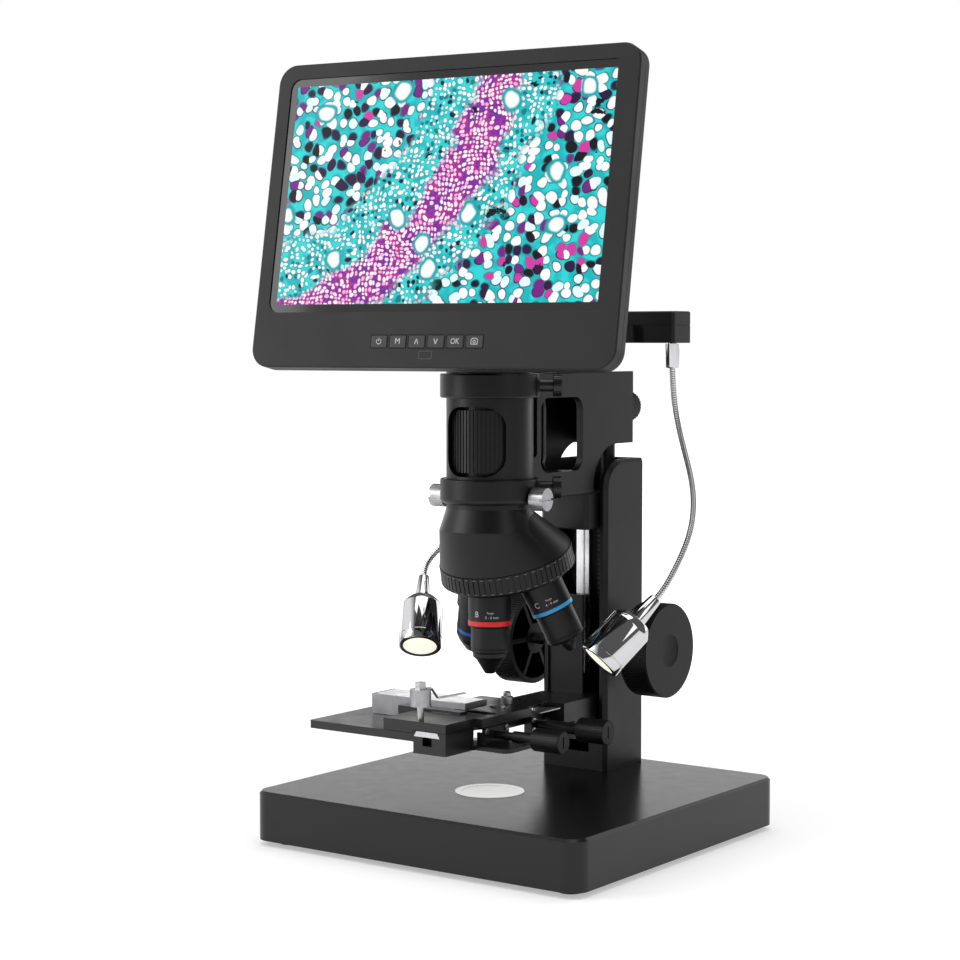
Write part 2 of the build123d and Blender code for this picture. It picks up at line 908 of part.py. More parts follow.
core_half_width = arm_half_width - arm_plate_thickness
with BuildPart() as arm_core:
    with BuildSketch(Plane.YZ.offset(-core_half_width)):
        add(arm_profile(core_inset))
    extrude(amount=2 * core_half_width)
    revolve(collar_space(), axis=around((0, optical_y, 0)), mode=Mode.SUBTRACT)
    with BuildSketch(Plane.XY.offset(window_bottom - core_inset)):
        with Locations((core_web / 2, (window_back + arm_rear_front) / 2)):
            Rectangle(2 * core_half_width - core_web, arm_rear_front - window_back)
        with Locations((0, (optical_y + window_back) / 2)):
            Rectangle(2 * core_half_width, window_back - optical_y)
    extrude(amount=window_top - window_bottom + 2 * core_inset, mode=Mode.SUBTRACT)
    with BuildSketch(Plane.XY.offset(block_top)):
        with Locations((0, (block_front + arm_rear_front - arm_curve_radius) / 2 - core_inset)):
            Rectangle(2 * core_half_width, arm_rear_front - arm_curve_radius - block_front)
    extrude(amount=core_inset)
    with BuildSketch(Plane.XY.offset(arm_rear_bottom)):
        with Locations((post_x, slide_back - slide_thickness / 2)):
            Circle(post_radius)
    extrude(amount=core_inset)
    with BuildSketch(Plane.XZ.offset(-arm_back)):
        with Locations((0, rear_knob_z)):
            Circle(rear_knob_shaft + running_gap)
    extrude(amount=rear_knob_depth, mode=Mode.SUBTRACT)
    with BuildSketch(Plane.XY.offset(arm_top - core_inset)):
        with Locations((0, sleeve_y)):
            Rectangle(2 * core_half_width, 2 * pillar_half_depth)
    extrude(amount=core_inset)
save(arm_core, "arm_core")


def clamp_collar(bottom, top, holes, edge):
    """Split ring that grips the tube; holes are (azimuth, z, radius), edge rounds its lower rim."""
    with BuildPart() as collar:
        revolve(
            outline(
                [
                    (tube_radius + running_gap, bottom),
                    (collar_radius, bottom),
                    (collar_radius, top),
                    (tube_radius + running_gap, top),
                ],
                (0, optical_y, 0),
            ),
            axis=around((0, optical_y, 0)),
        )
        rims = collar.edges().filter_by(GeomType.CIRCLE).filter_by(
            lambda circle: abs(circle.radius - collar_radius) < 0.01
        )
        fillet(rims.sort_by(Axis.Z)[0], edge)
        fillet(rims.sort_by(Axis.Z)[-1], 0.8)
        with BuildSketch(radial_plane(slit_azimuth, (bottom + top) / 2, tube_radius / 2)):
            Rectangle(slit_width, top - bottom + 2)
        extrude(amount=collar_radius, mode=Mode.SUBTRACT)
        for azimuth, hole_z, radius in holes:
            with BuildSketch(radial_plane(azimuth, hole_z, tube_radius / 2)):
                Circle(radius + hole_gap)
            extrude(amount=collar_radius, mode=Mode.SUBTRACT)
    return collar


top_lock_z = (top_collar_bottom + arm_top) / 2
low_lock_z = low_collar_top - 5.9
top_holes = [(azimuth, top_lock_z, lock_shank) for azimuth in lock_azimuths]
low_holes = [(azimuth, low_lock_z, lock_shank) for azimuth in lock_azimuths]
low_holes += [(azimuth, thumb_z, thumb_shank) for azimuth in thumb_azimuths]
save(clamp_collar(top_collar_bottom, arm_top, top_holes, collar_edge), "top_collar")
save(clamp_collar(low_collar_bottom, low_collar_top, low_holes, low_collar_edge), "low_collar")

with BuildPart() as lock_screws:
    for screw_z in (low_lock_z, top_lock_z):
        for azimuth in lock_azimuths:
            with BuildSketch(radial_plane(azimuth, screw_z, tube_radius + moving_gap)):
                Circle(lock_shank)
            extrude(amount=lock_head_start - tube_radius - moving_gap)
            with BuildSketch(radial_plane(azimuth, screw_z, lock_head_start)):
                add(ribbed(lock_head_radius, 24, 0.3))
            extrude(amount=lock_head_end - lock_head_start)
save(lock_screws, "lock_screws")

with BuildPart() as thumbscrews:
    for azimuth in thumb_azimuths:
        with BuildSketch(radial_plane(azimuth, thumb_z, tube_radius + moving_gap)):
            Circle(thumb_shank)
        extrude(amount=thumb_head_start - tube_radius - moving_gap)
        with BuildSketch(radial_plane(azimuth, thumb_z, thumb_head_start)):
            add(ribbed(thumb_head_radius, 30, 0.3))
        extrude(amount=thumb_head_end - thumb_head_start)
        with BuildSketch(radial_plane(azimuth, thumb_z, thumb_head_end)):
            Rectangle(2 * thumb_head_radius + 1, thumb_slot)
        extrude(amount=-1.5, mode=Mode.SUBTRACT)
save(thumbscrews, "thumbscrews")

with BuildPart() as rear_lock_knob:
    with BuildSketch(Plane.XZ.offset(-arm_back - moving_gap)):
        with Locations((0, rear_knob_z)):
            add(ribbed(rear_knob_radius, 30, 0.35))
    extrude(amount=-rear_knob_length)
    chamfer(rear_lock_knob.faces().sort_by(Axis.Y)[-1].edges(), 0.3)
    with BuildSketch(Plane.XZ.offset(-arm_back - moving_gap)):
        with Locations((0, rear_knob_z)):
            Circle(rear_knob_shaft)
    extrude(amount=moving_gap + rear_knob_depth - 1.0)
save(rear_lock_knob, "rear_lock_knob")

# ---------------------------------------------------------------- tube and its swivel
yaw = radians(display_yaw)
ahead = Vector(sin(yaw), -cos(yaw), 0)  # where the display faces, seen from above
sideways = Vector(cos(yaw), sin(yaw), 0)
axis_foot = Vector(0, optical_y, 0)

lens_barrel_radius = focus_ring_bore - running_gap
with BuildPart() as tube:
    revolve(
        outline(
            [
                (lens_barrel_bore, tube_bottom),
                (tube_radius, tube_bottom),
                (tube_radius, tube_top),
                (light_bore, tube_top),
                (light_bore, tube_top - 3),
                (tube_bore, tube_top - 3),
                (tube_bore, tube_bottom + 2),
                (lens_barrel_bore, tube_bottom + 2),
            ],
            (0, optical_y, 0),
        ),
        axis=around((0, optical_y, 0)),
    )
    window_chord = 2 * tube_radius * sin(radians(tube_window_half_angle))
    window_middle = (tube_window_bottom + tube_window_top) / 2
    with BuildSketch(radial_plane(tube_window_azimuth, window_middle)):
        RectangleRounded(window_chord, tube_window_top - tube_window_bottom, tube_window_corner)
    extrude(amount=tube_radius + 1, mode=Mode.SUBTRACT)
    revolve(
        outline(
            [
                (lens_barrel_bore, tube_bottom),
                (lens_barrel_radius, tube_bottom),
                (lens_barrel_radius, focus_ring_top + 2),
                (lens_barrel_bore, focus_ring_top + 2),
            ],
            (0, optical_y, 0),
        ),
        axis=around((0, optical_y, 0)),
    )
save(tube, "tube")

with BuildPart() as focus_ring:
    with BuildSketch(Plane.XY.offset(focus_ring_bottom)):
        with Locations((0, optical_y)):
            add(ribbed(focus_ring_radius, focus_ring_ribs, 0.5))
            Circle(focus_ring_bore, mode=Mode.SUBTRACT)
    extrude(amount=focus_ring_top - focus_ring_bottom)
save(focus_ring, "focus_ring")

with BuildPart() as sensor_board:
    with BuildSketch(Plane.XY.offset(sensor_board_z)):
        with Locations((0, optical_y)):
            Circle(tube_bore)
    extrude(amount=sensor_board_thickness)
    with BuildSketch(Plane.XY.offset(sensor_board_z)):
        with Locations((0, optical_y)):
            Rectangle(2 * sensor_half_size, 2 * sensor_half_size)
    extrude(amount=-2.5)
save(sensor_board, "sensor_board")

hinge_point = axis_foot + ahead * hinge_ahead + Vector(0, 0, hinge_z)
hinge_plane = Plane(origin=hinge_point, x_dir=ahead, z_dir=sideways)  # local x ahead, local y down
yoke_top = hinge_z + 5.0
with BuildPart() as display_yoke:
    with BuildSketch(Plane.XY.offset(tube_top)):
        with Locations((0, optical_y)):
            Circle(tube_radius)
    extrude(amount=yoke_base_thickness)
    yoke_floor = tube_top + yoke_base_thickness
    yoke_plane = Plane(origin=axis_foot + Vector(0, 0, yoke_floor), x_dir=sideways, z_dir=(0, 0, 1))
    with BuildSketch(yoke_plane):
        with Locations((0, -hinge_ahead / 2 + 9)):
            RectangleRounded(2 * fork_half_width, hinge_ahead - 2, 5)
    extrude(amount=hinge_z - hinge_barrel_radius - yoke_floor)
    with BuildSketch(yoke_plane.offset(hinge_z - hinge_barrel_radius - yoke_floor)):
        with Locations((0, -hinge_ahead / 2 + 14)):
            RectangleRounded(2 * fork_half_width, hinge_ahead - 12, 5)
    extrude(amount=yoke_top - hinge_z + hinge_barrel_radius)
    with BuildSketch(hinge_plane.offset(-fork_half_width)):
        Circle(hinge_barrel_radius)
        with Locations((-hinge_barrel_radius * 1.5, 0)):
            Rectangle(hinge_barrel_radius * 3, 2 * hinge_barrel_radius)
    extrude(amount=2 * fork_half_width)
    with BuildSketch(hinge_plane.offset(-knuckle_half_width - moving_gap)):
        Circle(hinge_barrel_radius + moving_gap)
        with Locations((hinge_barrel_radius, 0)):
            Rectangle(2 * hinge_barrel_radius, 2 * hinge_barrel_radius + 2 * moving_gap)
        with Locations((-hinge_barrel_radius * 0.6, -hinge_barrel_radius * 0.6)):
            Rectangle(hinge_barrel_radius * 1.2, hinge_barrel_radius * 1.2)
    extrude(amount=2 * (knuckle_half_width + moving_gap), mode=Mode.SUBTRACT)
    with BuildSketch(hinge_plane.offset(-knuckle_half_width - 2)):
        Circle(hinge_pin_radius)
    extrude(amount=2 * knuckle_half_width + 4)
save(display_yoke, "display_yoke")

# ---------------------------------------------------------------- nosepiece and turret
tilt = radians(turret_tilt)
turret_apex = Vector(0, optical_y, turret_apex_z)
turret_axis = Vector(0, sin(tilt), -cos(tilt))
plug_radius = tube_radius

with BuildPart() as nosepiece_housing:
    revolve(
        outline(
            [
                (0, shoulder_z),
                (shoulder_radius, shoulder_z),
                (plug_radius, neck_bottom),
                (plug_radius, neck_plug_top),
                (0, neck_plug_top),
            ],
            (0, optical_y, 0),
        ),
        axis=around((0, optical_y, 0)),
    )
    ring_plane = Plane(origin=turret_apex + turret_axis * (ring_start - turret_gap), z_dir=-turret_axis)
    with BuildSketch(ring_plane):
        Circle(housing_edge_radius)
    with BuildSketch(Plane.XY.offset(shoulder_z)):
        with Locations((0, optical_y)):
            Circle(shoulder_radius)
    loft()
    with BuildSketch(ring_plane.offset(1.0)):
        Circle(housing_edge_radius - 0.4)
    with BuildSketch(Plane.XY.offset(neck_bottom - 1.6)):
        with Locations((0, optical_y)):
            Circle(plug_radius - 0.3)
    loft()
    with BuildSketch(Plane.XY.offset(shoulder_z - 50)):
        with Locations((0, optical_y)):
            Circle(light_bore)
    extrude(amount=100, mode=Mode.SUBTRACT)
    with BuildSketch(ring_plane):
        Circle(pivot_radius + running_gap)
    extrude(amount=pivot_depth + 1, mode=Mode.SUBTRACT)
save(nosepiece_housing, "nosepiece_housing")


def objective_axis(quarter):
    """Direction of an objective, a number of quarter turns from the working place."""
    start = Vector(0, 0, -1)
    return start.rotate(Axis((0, 0, 0), tuple(turret_axis)), 90 * quarter)


seat_distance = turret_plate_end / cos(tilt) + objective_seat

with BuildPart() as turret_ring:
    ring_base = Plane(origin=turret_apex + turret_axis * ring_start, z_dir=turret_axis)
    with BuildSketch(ring_base):
        add(ribbed(ring_radius_top, ring_knurls, knurl_depth, knurl_groove_share))
    with BuildSketch(ring_base.offset(ring_end - ring_start)):
        add(ribbed(ring_radius_bottom, ring_knurls, knurl_depth, knurl_groove_share))
    loft(ruled=True)
    with BuildSketch(ring_base.offset(ring_end - ring_start)):
        Circle(turret_plate_radius + 2.5)
    extrude(amount=turret_plate_end - ring_end, taper=30)
    with BuildSketch(ring_base):
        Circle(pivot_radius)
    extrude(amount=-pivot_depth)
    for quarter in range(4):
        along = objective_axis(quarter)
        with BuildSketch(Plane(origin=turret_apex + along * (ring_start - 6), z_dir=along)):
            Circle(objective_thread + hole_gap)
        extrude(amount=turret_plate_end - ring_start + 20, mode=Mode.SUBTRACT)
        with BuildSketch(Plane(origin=turret_apex + along * seat_distance, z_dir=along)):
            Circle(objective_radius + spot_face_gap)
        extrude(amount=20, mode=Mode.SUBTRACT)
    blank = objective_axis(2)
    revolve(
        outline(
            [
                (0, ring_start / cos(tilt) + 4),
                (objective_thread + hole_gap, ring_start / cos(tilt) + 4),
                (objective_thread + hole_gap, seat_distance - 2),
                (objective_radius, seat_distance - 2),
                (objective_radius, seat_distance + 5),
                (0, seat_distance + 5),
            ],
            turret_apex,
            blank,
        ),
        axis=around(turret_apex, blank),
    )
save(turret_ring, "turret_ring")


def objective(quarter, steps, tip_radius, length):
    """Screwed-in objective; steps are (radius, distance from the apex) down its outside."""
    along = objective_axis(quarter)
    thread_start = ring_start / cos(tilt) + 4
    with BuildPart() as barrel:
        revolve(
            outline(
                [
                    (objective_bore, thread_start),
                    (objective_thread, thread_start),
                    (objective_thread, seat_distance),
                    (objective_radius, seat_distance),
                    *steps,
                    (tip_radius, length),
                    (tip_radius * 0.7, length),
                    (tip_radius * 0.7, length - 3),
                    (objective_bore, length - 12),
                ],
                turret_apex,
                along,
            ),
            axis=around(turret_apex, along),
        )
    return barrel


low_length = 123.1  # from the apex to the tip
mid_length = 121.0
high_length = 128.0
low_steps = [
    (13.3, 93.5),
    (11.7, 94.3),
    (11.7, 107.0),
    (11.3, 107.3),
    (11.3, 107.8),
    (11.6, 108.1),
    (11.6, 109.2),
    (10.6, 110.2),
    (10.4, 112.6),
    (8.2, 114.6),
    (3.4, 122.4),
]
mid_steps = [
    (13.3, 93.0),
    (12.0, 93.8),
    (12.0, 109.0),
    (11.6, 109.3),
    (11.6, 110.0),
    (12.0, 110.3),
    (12.0, 111.5),
    (10.8, 113.2),
    (5.4, 114.6),
    (4.9, 116.6),
    (2.6, 120.5),
]
high_steps = [(13.3, 93.5), (12.1, 94.5), (12.1, 115.0), (10.6, 119.0), (6.0, 126.0)]
save(objective(0, low_steps, 2.9, low_length), "objective_low")
save(objective(3, mid_steps, 2.5, mid_length), "objective_mid")
save(objective(1, high_steps, 3.4, high_length), "objective_high")

# ---------------------------------------------------------------- display
tilt_back = radians(display_tilt)
panel_normal = ahead * cos(tilt_back) + Vector(0, 0, sin(tilt_back))
panel_origin = axis_foot + ahead * display_ahead + Vector(0, 0, display_z)
display_plane = Plane(origin=panel_origin, x_dir=sideways, z_dir=panel_normal)
display_middle = (0, display_height / 2 - display_chin)
glass_middle = (0, screen_height / 2)
glass_size = (screen_width + 2 * glass_border, screen_height + 2 * glass_border)
button_places = [((index - (len(button_names) - 1) / 2) * button_pitch, button_v) for index in range(6)]

with BuildPart() as display_frame:
    with BuildSketch(display_plane.offset(bezel_front)):
        with Locations(display_middle):
            RectangleRounded(display_width, display_height, display_corner)
    extrude(amount=-bezel_depth)
    chamfer(display_frame.faces().sort_by(Axis(panel_origin, panel_normal))[-1].edges(), 0.8)
    with BuildSketch(display_plane.offset(bezel_front)):
        with Locations(glass_middle):
            RectangleRounded(*glass_size, glass_corner)
        with Locations(*button_places):
            RectangleRounded(button_width + 2 * button_gap, button_height + 2 * button_gap, 1.0)
    extrude(amount=-bezel_depth, mode=Mode.SUBTRACT)
save(display_frame, "display_frame")

with BuildPart() as lcd_panel:
    with BuildSketch(display_plane):
        with Locations(glass_middle):
            RectangleRounded(*glass_size, glass_corner)
    extrude(amount=-panel_depth)
save(lcd_panel, "lcd_panel")

shell_front = bezel_front - bezel_depth - parting_gap
hinge_v = (hinge_point - panel_origin).dot(display_plane.y_dir)
hinge_w = (hinge_point - panel_origin).dot(display_plane.z_dir)
hinge_local = Plane(origin=hinge_point, x_dir=-panel_normal, z_dir=sideways)  # local x away from the screen
with BuildPart() as display_back:
    with BuildSketch(display_plane.offset(bezel_front - bezel_depth)):
        with Locations(display_middle):
            RectangleRounded(display_width - 2, display_height - 2, display_corner - 1)
    extrude(amount=-parting_gap)
    with BuildSketch(display_plane.offset(shell_front)):
        with Locations(display_middle):
            RectangleRounded(display_width, display_height, display_corner)
    extrude(amount=-(shell_depth + shell_front))
    chamfer(display_back.faces().sort_by(Axis(panel_origin, panel_normal))[0].edges(), 1.5)
    with BuildSketch(display_plane.offset(-shell_depth)):
        with Locations((0, (bulge_bottom + bulge_top) / 2)):
            RectangleRounded(2 * bulge_half_width, bulge_top - bulge_bottom, bulge_corner)
    extrude(amount=-(bulge_depth - shell_depth), taper=25)
    with BuildSketch(display_plane.offset(bezel_front - bezel_depth)):
        with Locations(display_middle):
            RectangleRounded(display_width - 8, display_height - 8, display_corner - 4)
    extrude(amount=-(shell_depth - shell_wall + bezel_front - bezel_depth), mode=Mode.SUBTRACT)
    with BuildSketch(display_plane.offset(-shell_depth + shell_wall)):
        with Locations((0, (bulge_bottom + bulge_top) / 2)):
            Rectangle(2 * board_half_width, bulge_top - bulge_bottom - 24)
    extrude(amount=-(bulge_depth - shell_depth), mode=Mode.SUBTRACT)
    with BuildSketch(hinge_local.offset(-knuckle_half_width)):
        Circle(hinge_barrel_radius)
        with Locations((-(-hinge_w - bulge_depth + 0.5) / 2, 0)):
            Rectangle(-hinge_w - bulge_depth + 0.5, 2 * hinge_barrel_radius)
    extrude(amount=2 * knuckle_half_width)
    with BuildSketch(hinge_local.offset(-knuckle_half_width)):
        Circle(hinge_pin_radius + running_gap)
    extrude(amount=2 * knuckle_half_width, mode=Mode.SUBTRACT)
save(display_back, "display_back")

board_back = -bulge_depth + shell_wall + board_standoff
with BuildPart() as main_board:
    with BuildSketch(display_plane.offset(board_back)):
        with Locations((0, (board_bottom + board_top) / 2)):
            Rectangle(2 * board_half_width - 6, board_top - board_bottom)
    extrude(amount=board_thickness)
    with BuildSketch(display_plane.offset(board_back + board_thickness)):
        with Locations((-25, 55), (20, 60), (5, 30)):
            Rectangle(18, 14)
    extrude(amount=2.0)
    with BuildSketch(display_plane.offset(board_back)):
        with Locations((-45, 22), (45, 22), (-45, 88), (45, 88)):
            Circle(2.5)
    extrude(amount=-board_standoff)
save(main_board, "main_board")

for name, place in zip(button_names, button_places):
    with BuildPart() as button:
        with BuildSketch(display_plane.offset(bezel_front + button_proud)):
            with Locations(place):
                RectangleRounded(button_width, button_height, 0.9)
        extrude(amount=-button_length)
        chamfer(button.faces().sort_by(Axis(panel_origin, panel_normal))[-1].edges(), 0.4)
    save(button, f"button_{name}")

# ---------------------------------------------------------------- lamp bar
lamp_bar_middle = (lamp_bar_front + lamp_bar_back) / 2
with BuildPart() as lamp_bar:
    with BuildSketch(Plane.XY.offset(lamp_bar_bottom)):
        with Locations((0, lamp_bar_middle)):
            Rectangle(2 * bar_half_length, lamp_bar_back - lamp_bar_front)
    extrude(amount=lamp_bar_top - lamp_bar_bottom)
    chamfer(lamp_bar.edges().filter_by(Axis.Z), lamp_bar_bevel)
    chamfer(lamp_bar.faces().sort_by(Axis.Z)[-1].edges(), lamp_bar_bevel / 2)
    with BuildSketch(Plane.XY.offset(lamp_bar_bottom)):
        with Locations((0, lamp_bar_front - lip_proud / 2)):
            Rectangle(2 * lip_half_length, lip_proud)
    extrude(amount=lamp_bar_seam - lamp_bar_bottom)
    with BuildSketch(Plane.XY.offset(lamp_bar_seam)):
        with Locations((0, lamp_bar_middle)):
            Rectangle(2 * bar_half_length + 2, lamp_bar_back - lamp_bar_front + 2)
            Rectangle(
                2 * (bar_half_length - seam_depth), lamp_bar_back - lamp_bar_front - 2 * seam_depth, mode=Mode.SUBTRACT
            )
    extrude(amount=seam_height, mode=Mode.SUBTRACT)
    with BuildSketch(Plane.XY.offset(lamp_bar_bottom)):
        with Locations((0, sleeve_y)):
            Rectangle(2 * pillar_half_width, 2 * pillar_half_depth)
    extrude(amount=arm_top - lamp_bar_bottom)
    with BuildSketch(Plane.XY.offset(lamp_bar_bottom)):
        with Locations((-sleeve_x, sleeve_y), (sleeve_x, sleeve_y)):
            Circle(swivel_stub + running_gap)
    extrude(amount=swivel_stub_length + 1, mode=Mode.SUBTRACT)
save(lamp_bar, "lamp_bar")

# ---------------------------------------------------------------- lamps
sleeve_end_z = lamp_bar_bottom - sleeve_length
right_face = Vector(59.8, -0.2, 116.5)
right_aim = Vector(-0.425, -0.57, -0.705).normalized()
right_route = [
    (69.3, 71.4, 282.0),
    (71.1, 71.5, 268.0),
    (74.4, 71.4, 254.6),
    (79.0, 70.3, 241.6),
    (83.9, 68.5, 229.3),
    (88.0, 65.5, 217.0),
    (90.5, 61.2, 204.2),
    (91.1, 55.4, 191.6),
    (89.9, 48.1, 179.5),
    (87.6, 40.4, 167.8),
]
left_face = Vector(-75.2, -4.3, 115.2)
left_aim = Vector(0.33, -0.52, -0.79).normalized()
left_route = [
    (-68.4, 71.2, 281.0),
    (-68.2, 70.8, 264.5),
    (-68.9, 69.2, 248.0),
    (-70.6, 66.0, 232.0),
    (-73.4, 61.0, 217.0),
    (-77.0, 54.4, 203.0),
    (-81.1, 46.8, 190.5),
    (-85.6, 38.9, 180.0),
    (-93.9, 30.8, 168.3),
]


def gooseneck(side, route, face_center, aim):
    """Corrugated arm with the ferrule that turns in the lamp bar."""
    lamp_end = face_center - aim * (lamp_length + lamp_sleeve_length)
    top = Vector(side * sleeve_x, sleeve_y, sleeve_end_z)
    lead_in = lamp_end - aim * gooseneck_lead
    points = [tuple(top), *route, tuple(lead_in), tuple(lamp_end)]
    radii = bend_radii(points)
    print("gooseneck", "right" if side > 0 else "left", "radii", [round(radius) for radius in radii])
    with BuildPart() as arm:
        with BuildLine():
            path = FilletPolyline(*points, radius=radii)
        with BuildSketch(Plane(origin=top, z_dir=path % 0)):
            Circle(gooseneck_radius)
        sweep()
        revolve(
            outline(
                [
                    (0, sleeve_end_z),
                    (sleeve_low_radius, sleeve_end_z),
                    (sleeve_top_radius, lamp_bar_bottom - moving_gap),
                    (swivel_stub, lamp_bar_bottom - moving_gap),
                    (swivel_stub, lamp_bar_bottom + swivel_stub_length),
                    (0, lamp_bar_bottom + swivel_stub_length),
                ],
                (top.X, top.Y, 0),
            ),
            axis=around((top.X, top.Y, 0)),
        )
    return arm


def lamp_head(face_center, aim):
    """Lamp body: rim, barrel, tapered back and the sleeve that takes the gooseneck's end."""
    back = lamp_length
    with BuildPart() as head:
        revolve(
            outline(
                [
                    (0, lamp_disc_recess),
                    (lamp_disc_radius, lamp_disc_recess),
                    (lamp_disc_radius, 0),
                    (lamp_radius - 0.6, 0),
                    (lamp_radius, 0.6),
                    (lamp_radius, 6.0),
                    (lamp_radius - 0.4, 6.3),
                    (lamp_radius, 6.6),
                    (lamp_radius, back - lamp_back_bevel),
                    (lamp_back_radius, back),
                    (lamp_sleeve_radius, back),
                    (lamp_sleeve_tip, back + lamp_sleeve_length),
                    (0, back + lamp_sleeve_length),
                ],
                face_center,
                -aim,
            ),
            axis=around(face_center, -aim),
        )
    return head


save(gooseneck(1, right_route, right_face, right_aim), "gooseneck_right")
save(gooseneck(-1, left_route, left_face, left_aim), "gooseneck_left")
save(lamp_head(right_face, right_aim), "lamp_head_right")
save(lamp_head(left_face, left_aim), "lamp_head_left")

# ---------------------------------------------------------------- stage, fixed pieces
drive_pitch = drive_pinion_module * drive_pinion_teeth / 2
plate_bottom = guide_top + plate_gap
light_slot_place = (light_slot_right - light_slot[0] / 2, optical_y)
with BuildPart() as stage_table:
    with BuildSketch(Plane.XY.offset(table_bottom)):
        with BuildLine():
            Polyline(
                (table_left, table_front),
                (block_left, table_front),
                (block_left, block_back),
                (table_right, block_back),
                (table_right, tongue_shoulder),
                (tongue_right, tongue_shoulder),
                (tongue_right, column_front),
                (tongue_left, column_front),
                (tongue_left, table_back),
                (table_left, table_back),
                close=True,
            )
        make_face()
        with Locations((0, optical_y)):
            Circle(stage_hole, mode=Mode.SUBTRACT)
    extrude(amount=table_top - table_bottom)
    outer = stage_table.edges().filter_by(Axis.Z).filter_by_position(Axis.X, table_left - 1, table_left + 1)
    fillet(outer, 1.5)
save(stage_table, "stage_table")

with BuildPart() as stage_bracket:
    with BuildSketch(Plane.XY.offset(table_top)):
        with Locations(((tongue_left + tongue_right) / 2, (bracket_front + column_front) / 2)):
            Rectangle(tongue_right - tongue_left, column_front - bracket_front)
    extrude(amount=bracket_top - table_top)
    with BuildSketch(Plane.XY.offset(bracket_bottom)):
        with Locations((0, (column_front + bracket_back) / 2)):
            Rectangle(2 * tongue_right, bracket_back - column_front)
    extrude(amount=bracket_top - bracket_bottom)
    with BuildSketch(Plane.XY.offset(bracket_bottom)):
        with Locations((0, (bracket_front + 12 + column_front) / 2)):
            Rectangle(2 * tongue_right, column_front - bracket_front - 12)
    extrude(amount=table_bottom - bracket_bottom)
save(stage_bracket, "stage_bracket")

with BuildPart() as guide_block:
    with BuildSketch(Plane.XY.offset(guide_bottom)):
        with Locations(((block_left + block_right) / 2, (table_front + block_back) / 2)):
            Rectangle(block_right - block_left, block_back - table_front)
    extrude(amount=guide_top - guide_bottom)
    with BuildSketch(Plane.XZ.offset(-table_front)):
        with Locations((dovetail_center, guide_top - dovetail_height - slot_height / 2)):
            Rectangle(slot_width, slot_height)
    extrude(amount=-slot_depth, mode=Mode.SUBTRACT)
    with BuildSketch(Plane.XY.offset(guide_bottom)):
        with BuildLine():
            Polyline(
                (block_right - floor_root, block_back - 1),
                (block_right, block_back - 1),
                (block_right, drive_floor_front),
                (drive_floor_right, drive_floor_front),
                (drive_floor_right, drive_floor_back),
                (block_right - floor_root, drive_floor_back),
                close=True,
            )
        make_face()
        with Locations(light_slot_place):
            SlotOverall(*light_slot, mode=Mode.SUBTRACT)
    extrude(amount=drive_floor_top - guide_bottom)
    corner = guide_block.edges().filter_by(Axis.Z).sort_by(Axis.X)[-2:].sort_by(Axis.Y)[0]
    fillet(corner, drive_floor_corner)
    with BuildSketch(Plane.XY.offset(drive_floor_top)):
        with Locations((plate_right - drive_wall / 2, (drive_wall_front + drive_wall_back) / 2)):
            Rectangle(drive_wall, drive_wall_back - drive_wall_front)
    extrude(amount=drive_wall_top - drive_floor_top)
    with BuildSketch(Plane.XY.offset(drive_floor_top)):
        with Locations(((block_right + plate_right) / 2, drive_wall_front + drive_wall / 2)):
            Rectangle(plate_right - block_right, drive_wall)
    extrude(amount=drive_front_wall_top - drive_floor_top)
    with BuildSketch(Plane.YZ.offset(plate_right - drive_wall - 1)):
        with Locations((drive_y, drive_z)):
            Circle(drive_rod_radius + running_gap)
    extrude(amount=drive_wall + 2, mode=Mode.SUBTRACT)
save(guide_block, "guide_block")

